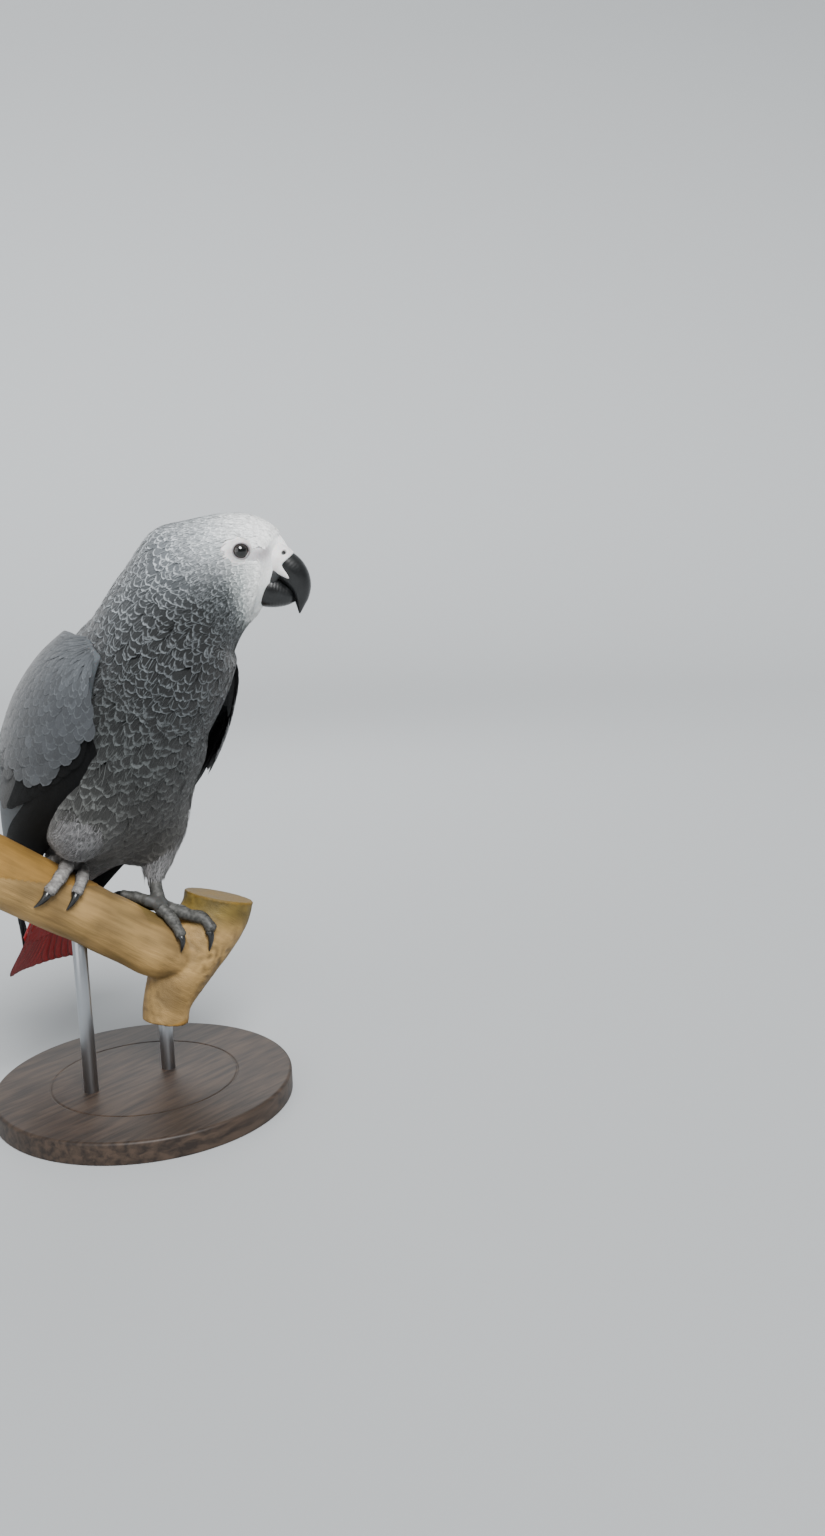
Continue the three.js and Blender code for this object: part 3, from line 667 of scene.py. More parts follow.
# ---- Skin ----------------------------------------------------------------------------------
# One skin under all the plumage, from the face to the toes, as deep under the feathers' tips as
# the coat is thick there: 1.4 mm on the face, 4 mm on the breast and nothing on the scaled feet.
# The forms are sunk that far, and their volume is drawn anew as one closed skin.
COAT_DEPTH = ([0, 3, 5, 7, 9, 12, 14], [1.4, 1.6, 2.2, 3.2, 4.0, 3.6, 2.0])  # place, depth
WING_COAT = 2.6
THIGH_COAT = 3.2
FACE_EDGE = ([-36, -31.6, -22.6, -14.2, -9, -4, 0, 4, 8],  # above the eyes, ahead of them
             [11.8, 12.8, 14.9, 15.6, 16.4, 16.6, 18, 21, 25])
FACE_CARVE = 4.6
FLANK_CARVE = 9
SKIN_VOXEL = 1.45


def coat_depth(place):
    """Depth of the plumage at a place along the body."""
    return np.interp(place, *COAT_DEPTH)


def side_view(points):
    """Ahead of the eyes, above them, and out from the head's middle plane, for points."""
    off = points - PERCH_TOP - EYES
    return off @ head_ahead, off @ head_up, np.abs(off @ head_left)


def before_edge(points):
    """How far points lie ahead of the line where the face's feathers stop at beak and cere."""
    ahead, up, _ = side_view(points)
    return ahead - np.interp(up, *FACE_EDGE)


def carved(points):
    """How far the form is drawn in at points: the sides of the face towards the beak, easing in
    over 9 mm, and the upper flanks by a bell curve of the turn from each wing's front edge."""
    face = FACE_CARVE * smooth((before_edge(points) + 8) / 9) * smooth(side_view(points)[2] / 8)
    off = points - PERCH_TOP - TRUNK
    rise = off @ trunk_up
    edge = np.interp(rise, WING[::-1, 0], WING[::-1, 5])
    turn = np.degrees(np.arctan2(np.abs(points[..., 0]), off @ trunk_back))
    flank = smooth((rise - 5) / 35) * smooth((92 - rise) / 30) * np.exp(-((turn - edge) / 40) ** 2)
    return face * (rise > 60) + FLANK_CARVE * flank


def flesh_depth(place, turn):
    """How far the skin lies in from the form: the coat's depth, little on the bare lores, and the
    carving."""
    spot = body(place, turn)
    ahead, up, _ = side_view(spot)
    bare = np.exp(-(((ahead - 11) / 11) ** 2 + ((up + 2.5) / 5.5) ** 2) ** 2)
    return coat_depth(place) * (1 - 0.75 * bare) + carved(spot)


flesh = [loft(rings_of(lambda place, turn: body(place, turn, flesh_depth(place, turn)),
                       np.linspace(0.02, 13.9, 90), 96))]
wings = {name: wing_of(side) for name, side, *_ in FEET}
for name, side, *_ in FEET:
    place, share = np.meshgrid(np.linspace(0.12, 5.9, 40), np.linspace(0.07, 0.93, 30),
                               indexing="ij")
    thick = through(WING, place)[..., 6] * np.sqrt(1 - (2 * share - 1) ** 4)
    outer = wings[name](place, share, sunk=WING_COAT)
    inner = wings[name](place, share, sunk=WING_COAT + 0.4 + 0.9 * thick)
    flesh.append(loft(np.concatenate([outer, inner[:, ::-1]], 1)))
    for rows in (thighs[name], shanks[name]):
        surface = tube(rows, perch_along)
        depth = THIGH_COAT * (rows is thighs[name])
        flesh.append(loft(rings_of(surface, np.linspace(0, len(rows) - 1, 24), 32, sunk=depth)))
    for toe, *_ in TOES:
        rows = rounded_end(toe_rows[toe, name])
        surface = tube(rows, perch_along)
        flesh.append(loft(rings_of(surface, np.linspace(0, len(rows) - 1, 50), 24)))
        sole, root = shanks[name][-1], rows[0]
        palm = tube(np.array([sole, (sole + root) / 2, root]), perch_up)
        flesh.append(loft(rings_of(palm, np.linspace(0, 2, 8), 24)))
skin_points, skin_quads = united("skin", flesh, SKIN_VOXEL, 2)

# ---- Plumage -------------------------------------------------------------------------------
# Every feather is a closed thin vane laid over the form beneath it: narrow at its root under the
# others, widest at two thirds, round at its tip, arched across, and ragged where its barbs part.
# Feathers stand in staggered rows, so each covers the roots of those behind it.
BELLY_OF_VANE = 0.55  # where a vane is widest, as a share of its length


def bearing(surface, place, turn, outward=1):
    """At each point of a surface: the point, millimetres for each unit of place and turn as
    vectors, and the outward normal, all by small differences."""
    step = 0.01
    here = surface(place, turn)
    by_place = (surface(place + step, turn) - here) / step
    by_turn = (surface(place, turn + step) - here) / step
    return here, by_place, by_turn, outward * unit(np.cross(by_turn, by_place))


def vane(rings, ribs, root=0.34, belly=BELLY_OF_VANE):
    """One feather of unit length and half width: for each point how far along, how far across,
    and 1 if it is on the under side; and its faces. The outline widens as a quarter sine to the
    belly, then closes as a quarter of an ellipse."""
    t = np.arange(1, rings + 1) / (rings + 1)
    along = 1 - (1 - t) ** 1.6
    beyond = np.clip((along - belly) / (1 - belly), 0, 1)
    width = np.where(along < belly, root + (1 - root) * np.sin(np.pi / 2 * along / belly),
                     np.sqrt(1 - beyond ** 2))
    across = np.append(np.linspace(-1, 1, ribs), 0)
    points = np.stack([np.repeat(along, ribs + 1), np.outer(width, across).ravel(),
                       np.tile(np.append(np.zeros(ribs), 1), rings)], -1)
    points = np.vstack([points, [0, 0, 0], [1, 0, 0]])
    return points, loft_faces(rings, ribs + 1)


def roots(surface, start, stop, turns, gap, rng, shake=0.12):
    """Staggered rows of feather roots. Down each turn the rows are counted as the sum of distance
    over row gap, and roots stand at whole counts, or halfway on every second turn."""
    steps = np.linspace(start, stop, 240)
    place, turn = np.meshgrid(steps, turns, indexing="ij")
    path = np.linalg.norm(np.diff(surface(place, turn), axis=0), axis=-1)
    count = np.vstack([np.zeros(len(turns)),
                       np.cumsum(path / gap((place[1:] + place[:-1]) / 2, turn[1:]), axis=0)])
    rows = np.arange(int(count.max()) + 1)[:, None] + 0.5 * (np.arange(len(turns)) % 2)
    rows = rows + rng.normal(0, shake * 0.5, rows.shape)
    found = np.stack([np.interp(rows[:, j], count[:, j], steps, left=np.nan, right=np.nan)
                      for j in range(len(turns))], 1)
    keep = np.isfinite(found)
    spacing = np.gradient(turns)
    around = np.broadcast_to(turns, found.shape)[keep] + (
        rng.normal(0, shake * 0.5, keep.sum()) * np.broadcast_to(spacing, found.shape)[keep])
    return found[keep], around


def shades(codes, at, stops=None):
    """Colours between these hex codes at `at`, the stops spread evenly over 0 to 1 unless given."""
    ramp = np.array([linear(code) for code in codes])
    stops = np.linspace(0, 1, len(codes)) if stops is None else stops
    return np.stack([np.interp(at, stops, ramp[:, k]) for k in range(3)], -1)


PATCH = 0.003  # of each feather on the unwrapped skin


def patches(place, turn, along, across):
    """Each vane's patch of the map, PATCH across, at its root's place on the surface's unwrap."""
    chart = np.stack([turn - turn.min(), place - place.min()], -1)
    chart = 0.98 * chart / (chart.max(0) + 1e-9) + 0.01
    return chart[:, None] + PATCH * np.stack([across / 2, along - 0.5], -1)


FEATHER_TILT = 0.02  # spread of the slopes across them


def plumes(name, surface, place, turn, shape, material, slot, rng, core, fringe, length, half,
           low, high, outward=1, arch=0.07, stray=0.06, ragged=0.05, thick=0.2, carve=None):
    """A piece of many feathers on one surface. A vane's point goes its length and half width along
    and across from the root, in the surface's own measure. It stands off by low at the root and
    climbs to high as 1 - (1 - along)^3, less its arch times the square of the distance across."""
    n = len(place)
    length, half, low, high = (np.broadcast_to(np.asarray(value, float), (n,))
                               for value in (length, half, low, high))
    along, across, under = shape[0].T
    ps = bearing(surface, place, turn, outward)[1]
    middle = place + 0.5 * length / np.linalg.norm(ps, axis=-1)
    _, ps, pt, normal = bearing(surface, middle, turn, outward)
    ahead = unit(ps)
    aside = np.cross(ahead, normal)
    skew = rng.normal(0, stray, n)
    jag = 1 + ragged * rng.uniform(-1, 1, (n, len(along))) * (np.abs(across) > 0.2)
    x = along * length[:, None] * (1 + ragged * 0.5 * rng.uniform(-1, 1, (n, len(along)))
                                   * (along > 0.7))
    y = across * half[:, None] * jag
    c, s = np.cos(skew)[:, None], np.sin(skew)[:, None]
    run, drift = x * c - y * s, x * s + y * c
    pt_aside = (pt * aside).sum(-1)[:, None]
    pt_ahead = (pt * ahead).sum(-1)[:, None]
    by_turn = drift / pt_aside
    by_place = (run - by_turn * pt_ahead) / np.linalg.norm(ps, axis=-1)[:, None]
    where = place[:, None] + by_place, turn[:, None] + by_turn
    base, _, _, face = bearing(surface, *where, outward)
    tilt = rng.normal(0, FEATHER_TILT, n)[:, None]
    climb = low[:, None] + (high - low)[:, None] * (1 - (1 - along) ** 3)
    lift = (climb - arch * half[:, None] * across ** 2 + tilt * y
            - thick * under * np.sin(np.pi * np.clip(along, 0.1, 0.9)))
    if carve:
        lift = lift - carve(base)
    points = base + face * lift[..., None]
    slope = 0.3 * (high - low)[:, None] * (1 - along) ** 2 / length[:, None]
    bend = -1.2 * arch * across + tilt
    shown = unit(face - slope[..., None] * ahead[:, None] - bend[..., None] * aside[:, None])
    feather_piece(name, points, shown, shape, material, slot, core, fringe,
                  patches(place, turn, along, across))


def map_piece(piece, layer, places):
    """Writes a UV map from one place for each vertex."""
    corners = np.empty(len(piece.data.loops), np.int32)
    piece.data.loops.foreach_get("vertex_index", corners)
    uv = piece.data.uv_layers.new(name=layer)
    uv.uv.foreach_set("vector", np.asarray(places)[corners].astype(np.float32).ravel())


def feather_piece(name, points, shown, shape, material, slot, core, fringe, chart, replaced=()):
    """One piece of feathers with its shading normals, turned over where a face looks down, its
    colours, its map along and across each vane, and its place on the unwrapped skin."""
    n, size = points.shape[:2]
    starts = (np.arange(n) * size)[:, None, None]
    faces = [(starts + f).reshape(-1, f.shape[1]) for f in shape[1]]
    piece = mesh_of(name, points.reshape(-1, 3), faces, [material])
    corners = np.empty(len(piece.data.loops), np.int32)
    piece.data.loops.foreach_get("vertex_index", corners)
    flat = np.empty(3 * len(piece.data.polygons), np.float32)
    piece.data.polygons.foreach_get("normal", flat)
    sides = np.concatenate([np.full(len(f), f.shape[1]) for f in faces])
    shown = shown.reshape(-1, 3)[corners]
    facing = np.sign((np.repeat(flat.reshape(-1, 3), sides, 0) * shown).sum(-1, keepdims=True))
    piece.data.normals_split_custom_set(shown * np.where(facing < 0, -1, 1))
    for layer, colour in (("core", core), ("fringe", fringe)):
        paint(piece, layer, np.repeat(np.broadcast_to(colour, (n, 3)), size, 0))
    along, across, _ = shape[0].T
    spot = np.tile(np.stack([0.5 + across / 2, along], -1), (n, 1))
    map_piece(piece, "vane", spot)
    map_piece(piece, "OFBake", chart.reshape(-1, 2))
    put(piece, slot, *replaced)


def feather_material(name, barbs, rim, shaft=0.25, gloss=0.8, sheen=0.25, mottle=0.12,
                     relief=0.5, streaks=0.0, sides=0.25, belly=BELLY_OF_VANE, shine=0.3):
    """Keratin barbs hooked into a matt web: the core colour turns to the fringe's within a rim of
    the vane's own ellipse, the barbs slant from the shaft as fine ridges, and the web is mottled.
    Real barbs stand 0.2 mm apart; `barbs` to a vane are drawn, as coarse as they need to show."""
    made, shader = material_of(name, Roughness=gloss, Sheen_Weight=sheen, Sheen_Roughness=0.5,
                               Specular_IOR_Level=shine)
    vane_map = add(made, "UVMap", uv_map="vane").outputs[0]
    spot = add(made, "SeparateXYZ", {0: vane_map}).outputs
    across = add(made, "Math", {0: spot[0], 1: 2.0, 2: -1.0}, operation="MULTIPLY_ADD").outputs[0]
    out = add(made, "Math", {0: across}, operation="ABSOLUTE").outputs[0]
    tip = add(made, "MapRange", {"Value": spot[1], "From Min": belly}).outputs[0]
    where = add(made, "TexCoord").outputs["Object"]
    cloud = add(made, "TexNoise", {"Vector": where, "Scale": cells(1.11), "Detail": 3}).outputs[0]
    wander = add(made, "Math", {0: cloud, 1: 0.3, 2: -0.15}, operation="MULTIPLY_ADD").outputs[0]
    both = add(made, "CombineXYZ", {0: out, 1: tip}).outputs[0]
    radius = add(made, "VectorMath", {0: both}, operation="LENGTH").outputs["Value"]
    radius = add(made, "Math", {0: radius, 1: wander}, operation="ADD").outputs[0]
    edge = add(made, "MapRange", {"Value": radius, "From Min": rim[0], "From Max": rim[1]},
               interpolation_type="SMOOTHSTEP").outputs[0]
    crescent = add(made, "MapRange", {"Value": tip, "From Min": sides, "From Max": sides + 0.35},
                   interpolation_type="SMOOTHSTEP").outputs[0]
    edge = add(made, "Math", {0: edge, 1: crescent}, operation="MULTIPLY").outputs[0]
    core = add(made, "VertexColor", layer_name="core").outputs[0]
    fringe = add(made, "VertexColor", layer_name="fringe").outputs[0]
    web = add(made, "Mix", {"Factor": edge, "A": core, "B": fringe},
              data_type="RGBA").outputs["Result"]
    slant = add(made, "Math", {0: out, 1: 0.35, 2: spot[1]}, operation="MULTIPLY_ADD").outputs[0]
    slant = add(made, "Math", {0: slant, 1: wander}, operation="ADD").outputs[0]
    count = add(made, "Math", {0: slant, 1: barbs * 2 * np.pi}, operation="MULTIPLY").outputs[0]
    barb = add(made, "Math", {0: count}, operation="SINE").outputs[0]
    quill = add(made, "MapRange", {"Value": out, "From Max": 0.07, "To Min": 1.0, "To Max": 0.0},
                interpolation_type="SMOOTHSTEP").outputs[0]
    darker = add(made, "MapRange", {"Value": cloud, "From Min": 0.3, "From Max": 0.7,
                                    "To Min": 1 - mottle, "To Max": 1 + mottle}).outputs[0]
    darker = add(made, "Math", {0: barb, 1: 0.05, 2: darker}, operation="MULTIPLY_ADD").outputs[0]
    if streaks:
        drawn = add(made, "Mapping", {"Vector": vane_map, "Scale": (7, 1.2, 1)}).outputs[0]
        lines = add(made, "TexNoise", {"Vector": drawn, "Scale": 3.0, "Detail": 3}).outputs[0]
        streak = add(made, "MapRange", {"Value": lines, "From Min": 0.35, "From Max": 0.65,
                                        "To Min": 1 - streaks, "To Max": 1 + streaks}).outputs[0]
        darker = add(made, "Math", {0: darker, 1: streak}, operation="MULTIPLY").outputs[0]
    shafted = add(made, "Math", {0: quill, 1: -shaft, 2: darker},
                  operation="MULTIPLY_ADD").outputs[0]
    grey = add(made, "CombineColor", {0: shafted, 1: shafted, 2: shafted}).outputs[0]
    tint = add(made, "Mix", {"Factor": 1.0, "A": web, "B": grey}, data_type="RGBA",
               blend_type="MULTIPLY").outputs["Result"]
    ridge = add(made, "Math", {0: barb, 1: 0.5, 2: quill}, operation="MULTIPLY_ADD").outputs[0]
    bump = add(made, "Bump", {"Height": ridge, "Strength": relief, "Distance": 0.25 * MM})
    feed(shader, Base_Color=tint, Normal=bump.outputs[0])
    return made


# The markings of body and skin: the middle and the rim of a feather at stations along the body,
# on the back and on the breast side, from the white face over the scalloped neck to the rump.
MARKS = {
    "at": [0, 2.3, 3.5, 4.4, 5.5, 6.6, 7.6, 9.0, 10.5, 12.0, 13.2, 14.0],
    "back core": ["F7F7F5", "F6F7F6", "DCDFDF", "A8AEB1", "676C70", "43474A", "2C2F32", "303336",
                  "3B3E41", "56595A", "808386", "8F8181"],
    "back rim": ["FCFCFB", "FCFCFB", "F6F8F8", "E2E6E8", "C0C6CA", "A4AAAE", "7C8286", "696E71",
                 "686D72", "848889", "A8ABAB", "B3ABAB"],
    "front core": ["F6F6F3", "F1F3F1", "939A9A", "323637", "17191A", "141617", "17191A", "1E2020",
                   "262624", "403D39", "5B514E", "6E3636"],
    "front rim": ["FCFCFB", "FAFBF9", "DCE1E0", "81878A", "5E6366", "5C6063", "5F6467", "595D5D",
                  "4E4E4B", "6A6662", "857670", "884642"],
}
BACK_ENDS, MARKS_BLEND = 0.8, 1.1  # turns from the back where the breast's colours start, and over


def marked(place, turn, part):
    """The colour of a feather's core or rim: between the stations' colours, blended from back to
    breast by the smoothstep of the turn."""
    back, front = (shades(MARKS[f"{side} {part}"], place, MARKS["at"])
                   for side in ("back", "front"))
    turn = np.abs(np.remainder(turn + np.pi, 2 * np.pi) - np.pi)
    share = smooth((turn - BACK_ENDS) / MARKS_BLEND)[..., None]
    return back * (1 - share) + front * share


def varied(colour, amount, rng):
    """The same colours, each feather's lightness varied at random."""
    return colour * np.exp(rng.normal(0, amount, len(colour)))[:, None]


def scattered(surface, start, stop, count, rng):
    """Places and turns spread evenly over a surface: drawn at random, then kept in proportion to
    the area that one unit of place and turn covers."""
    place = rng.uniform(start, stop, 4 * count)
    turn = rng.uniform(-np.pi, np.pi, 4 * count)
    _, ps, pt, _ = bearing(surface, place, turn)
    area = np.linalg.norm(np.cross(ps, pt), axis=-1)
    kept = np.flatnonzero(rng.uniform(0, area.max(), len(area)) < area)[:count]
    return place[kept], turn[kept]


# ---- Head feathers -------------------------------------------------------------------------
# Tiny round feathers, white on the face and crown and faintly scalloped on the cheek. They start
# round the bill and run back, leave the lids and the patch from eye to bill bare, and are smallest
# before the eye. Single white barbs stray over them and soften their edges.
small_web = feather_material("soft_white_feather", barbs=5, rim=(0.55, 1.0), shaft=0.04,
                             mottle=0.05, relief=0.3)
rng = np.random.default_rng(11)
eye_spots = {name: on_head(0.0, 0.0, side * EYE_SPREAD) for name, side, *_ in FEET}


def turns_of(count):
    """Evenly spaced turns once round the body, from the breast round to the breast."""
    return -np.pi + (np.arange(count) + 0.5) * 2 * np.pi / count


HEAD_STATIONS = [0, 1.5, 3, 4.5, 5.5]
CROWN_GAPS = [1.7, 2.0, 2.7, 3.6, 4.6]
CHEEK_GAPS = [1.5, 1.7, 2.1, 2.9, 4.2]
LIDS_REACH = 8.4  # of the bare skin round the middle of each eye
LORES = (11, -2.5, 10, 4.5)  # the bare patch: ahead, up, half its length and height


def head_gap(place, turn):
    """Millimetres between one feather's root and the next behind it."""
    cheek = np.clip((np.abs(turn) - 0.7) / 0.6, 0, 1)
    return (np.interp(place, HEAD_STATIONS, CROWN_GAPS) * (1 - cheek)
            + np.interp(place, HEAD_STATIONS, CHEEK_GAPS) * cheek)


def on_bare_face(spot):
    """True on the bare skin: before the feathers' edge, between eye and cere, and at the lids."""
    ahead, up, _ = side_view(spot)
    bare = before_edge(spot) > 3.2 * smooth((-9 - up) / 4)
    bare |= ((ahead - LORES[0]) / LORES[2]) ** 2 + ((up - LORES[1]) / LORES[3]) ** 2 < 1
    for eye in eye_spots.values():
        bare |= np.linalg.norm(spot - eye, axis=-1) < LIDS_REACH
    return bare


def head_coat(name, start, stop, count, rings):
    """Head feathers from one station to another, shorter where they point at the lids."""
    place, turn = roots(body, start, stop, turns_of(count), head_gap, rng, shake=0.35)
    spot, ps, _, _ = bearing(body, place, turn)
    length = 2.3 * head_gap(place, turn) * rng.uniform(0.9, 1.15, len(place))
    ring = np.linalg.norm(body(place, turn + 0.01) - spot, axis=-1) / 0.01
    half = np.clip(ring * 2 * np.pi / count * 0.95, 0.7, None)
    for eye in eye_spots.values():
        off = np.linalg.norm(spot - eye, axis=-1)
        towards = ((eye - spot) * unit(ps)).sum(-1) / off
        room = np.where(towards > 0.25, 0.9 * (off - 7.2), 99)
        length = np.minimum(length, np.maximum(room, 1.2))
    keep = ~on_bare_face(spot)
    place, turn, length, half = (v[keep] for v in (place, turn, length, half))
    low = -coat_depth(place) * np.interp(place, [0, 1.5], [0.5, 0.95])
    plumes(name, body, place, turn, vane(rings, 3, root=0.5), small_web, "white_feather", rng,
           varied(marked(place, turn, "core"), 0.02, rng),
           varied(marked(place, turn, "rim"), 0.012, rng),
           length=length, half=half, low=low, high=-0.1, stray=0.12, thick=0.15, carve=carved)


def loose_barbs(name, surface, start, stop, count, length, half, web, slot, hidden):
    """Single downy barbs that stray over the vanes and soften their edges, each between the
    vanes' core and rim colours."""
    place, turn = scattered(surface, start, stop, count, rng)
    kept = ~hidden(surface(place, turn))
    place, turn = place[kept], turn[kept]
    n = len(place)
    pale = rng.uniform(0, 1, n)[:, None] ** 1.8
    tone = marked(place, turn, "core") * (1 - pale) + marked(place, turn, "rim") * pale
    size = rng.uniform(0.7, 1.3, n)
    plumes(name, surface, place, turn, vane(3, 3, root=0.8), web, slot, rng, tone, tone,
           length=np.interp(place, *length) * size, half=half * size,
           low=-0.25 - 0.35 * coat_depth(place), high=0.2 * rng.uniform(0, 1.4, n),
           stray=0.22, ragged=0.0, thick=0.12, arch=0.0, carve=carved)


head_coat("face_feathers", -0.14, 2.1, 96, 4)
head_coat("crown_and_cheek_feathers", 1.9, 5.35, 92, 5)
loose_barbs("head_barbs", body, 0.0, 5.6, 7000, ([0, 3, 5.6], [2.2, 3.6, 5.5]), 0.17, small_web,
            "white_feather", on_bare_face)

# ---- Neck feathers -------------------------------------------------------------------------
# Broad round feathers with dark slate middles and a thin pale rim, in the staggered rows that
# give the neck its scales. They reach over the wings' bends and the top of the breast.
neck_web = feather_material("scalloped_grey_feather", barbs=9, rim=(0.74, 0.98), shaft=0.1,
                            mottle=0.10)
rng = np.random.default_rng(12)
LEG_CORE, LEG_RIM = linear("414242"), linear("6C6C6D")


def band_coat(name, surface, start, stop, turns, gaps, web, hidden=None, on_leg=None, **more):
    """One stretch of the body's feathers, hidden roots left out: gaps are the row gaps at places
    along it, and colours turn to the leg's by the share that on_leg gives."""
    gap = lambda place, turn: np.interp(place, *gaps) + 0 * turn
    place, turn = roots(surface, start, stop, turns, gap, rng, shake=0.3)
    spot = surface(place, turn)
    if hidden:
        kept = ~hidden(spot)
        place, turn, spot = place[kept], turn[kept], spot[kept]
    ring = np.linalg.norm(surface(place, turn + 0.01) - spot, axis=-1) / 0.01
    core, rim = marked(place, turn, "core"), marked(place, turn, "rim")
    if on_leg:
        share = on_leg(place, turn)[:, None]
        core = core * (1 - share) + LEG_CORE * share
        rim = rim * (1 - share) + LEG_RIM * share
    plumes(name, surface, place, turn, vane(8, 5), web, "grey_feather", rng,
           varied(core, 0.05, rng), varied(rim, 0.10, rng), length=2.2 * gap(place, turn),
           half=ring * np.median(np.diff(turns)), low=-0.95 * coat_depth(place), high=-0.1,
           carve=carved, **more)


band_coat("neck_feathers", body, 5.0, 8.3, turns_of(66), ([5, 6, 8.3], [4.4, 5.3, 6.2]), neck_web,
          stray=0.16, ragged=0.08)

# ---- Breast, belly and mantle --------------------------------------------------------------
# Softer, larger feathers whose pale rims run together into wavy bars over the breast and fade on
# the warmer grey belly, where they are lifted over the tops of the legs; on the back they fill the
# strip between the wings down to the rump.
soft_web = feather_material("soft_barred_grey_feather", barbs=11, rim=(0.66, 1.0), shaft=0.06,
                            mottle=0.14, sides=0.3)
rng = np.random.default_rng(13)
SWELL_SOFT = 7.0  # how softly belly and legs run together
SWELL_START, SWELL_STEP = 9, 0.1  # in stations
SWELL_PLACES = np.linspace(SWELL_START, 14, 51)
SWELL_TURNS = np.linspace(-np.pi, np.pi, 97)
SWELL_TOP = 25  # highest lift looked at

# The lift is found on a grid of places and turns, as the last height at which a feeler that leaves
# the body's surface is still inside, and evened out by weights of 1, 2 and 1 both ways.
place, turn, high = np.meshgrid(SWELL_PLACES, SWELL_TURNS, np.arange(SWELL_TOP + 2.0),
                                indexing="ij")
spot = body(place, turn, -high)
gap = np.full(spot.shape[:-1], 99.0)
for ball in np.vstack([through(rows, np.linspace(0, 2.3, 20)) for rows in thighs.values()]):
    gap = np.minimum(gap, np.linalg.norm(spot - ball[:3], axis=-1) - ball[3])
joined = -SWELL_SOFT * np.log(np.exp(-high / SWELL_SOFT) + np.exp(-gap / SWELL_SOFT))
top = SWELL_TOP - np.argmax(joined[..., SWELL_TOP::-1] <= 0, axis=-1)
below, above = (np.take_along_axis(joined, (top + k)[..., None], -1)[..., 0] for k in (0, 1))
swell = top + below / (below - above)
for _ in range(4):
    swell[1:-1] = (swell[:-2] + 2 * swell[1:-1] + swell[2:]) / 4
    swell[:, 1:-1] = (swell[:, :-2] + 2 * swell[:, 1:-1] + swell[:, 2:]) / 4
swell *= smooth((np.abs(SWELL_TURNS) - 1.5) / 0.6)


def swollen(place, turn):
    """How far the belly's coat is lifted by the legs beneath it: where the smooth union of the
    body and the thighs, -k log(exp(-a / k) + exp(-b / k)), crosses zero."""
    x = np.clip((place - SWELL_START) / SWELL_STEP, 0, len(SWELL_PLACES) - 1.01)
    y = np.remainder(turn + np.pi, 2 * np.pi) / (2 * np.pi) * (len(SWELL_TURNS) - 1)
    y = np.clip(y, 0, len(SWELL_TURNS) - 1.01)
    i, j = x.astype(int), y.astype(int)
    x, y = x - i, y - j
    return (swell[i, j] * (1 - x) * (1 - y) + swell[i + 1, j] * x * (1 - y)
            + swell[i, j + 1] * (1 - x) * y + swell[i + 1, j + 1] * x * y)


def plump(place, turn, sunk=0):
    """The body's surface, plumped out over the tops of the legs."""
    return body(place, turn, sunk - swollen(place, turn))


def under_wings(spot):
    """True where the trunk's feathers are hidden under a wing: within its arc, less a margin."""
    rise = (spot - PERCH_TOP - TRUNK) @ trunk_up
    back = (spot - PERCH_TOP - TRUNK) @ trunk_back
    rows = WING[::-1]
    start, end = (np.interp(rise, rows[:, 0], rows[:, k]) for k in (4, 5))
    round_it = np.degrees(np.arctan2(np.abs(spot[:, 0]), back))
    return (round_it > start + 14) & (round_it < end - 18) & (rise < 58) & (rise > -150)


def over_legs(place, turn):
    """0 on the belly, 1 where its coat lies on a leg."""
    return 0.8 * smooth((swollen(place, turn) - 5) / 12)


band_coat("breast_and_back_feathers", plump, 8.0, 12.1, turns_of(60),
          ([8, 9.5, 12], [6.4, 8.6, 9.0]), soft_web, under_wings, over_legs,
          stray=0.15, ragged=0.12)
band_coat("vent_and_rump_feathers", plump, 11.9, 13.9, turns_of(40),
          ([12, 14], [8.6, 6.8]), soft_web, under_wings, over_legs, stray=0.12, ragged=0.12)
loose_barbs("body_barbs", plump, 5.2, 13.6, 7500, ([5, 8, 13], [6, 9, 11]), 0.2, soft_web,
            "grey_feather", under_wings)

# ---- Thigh feathers ------------------------------------------------------------------------
# Loose pale feathers that hang over each leg to the ankle, longer and more ragged than the body's,
# and single barbs of down over them. Those whose roots lie inside the trunk are left out.
downy_web = feather_material("downy_pale_feather", barbs=8, rim=(0.35, 1.0), shaft=0.03,
                             mottle=0.10, gloss=0.9, sheen=0.4)
rng = np.random.default_rng(14)


def within_trunk(spot, margin):
    """True where points lie inside the trunk's ovals, grown by a margin."""
    stations = BODY[8:]
    off = stations[:, :3] - PERCH_TOP - TRUNK, stations[:, 3:6] - PERCH_TOP - TRUNK
    middle = (off[0] + off[1]) / 2
    rise, back = (spot - PERCH_TOP - TRUNK) @ trunk_up, (spot - PERCH_TOP - TRUNK) @ trunk_back
    order = np.argsort(middle @ trunk_up)
    at = lambda values: np.interp(rise, (middle @ trunk_up)[order], values[order])
    deep = at(np.abs((off[0] - off[1]) @ trunk_back) / 2) + margin
    wide = at(stations[:, 7]) + margin
    return ((back - at(middle @ trunk_back)) / deep) ** 2 + (spot[:, 0] / wide) ** 2 < 1


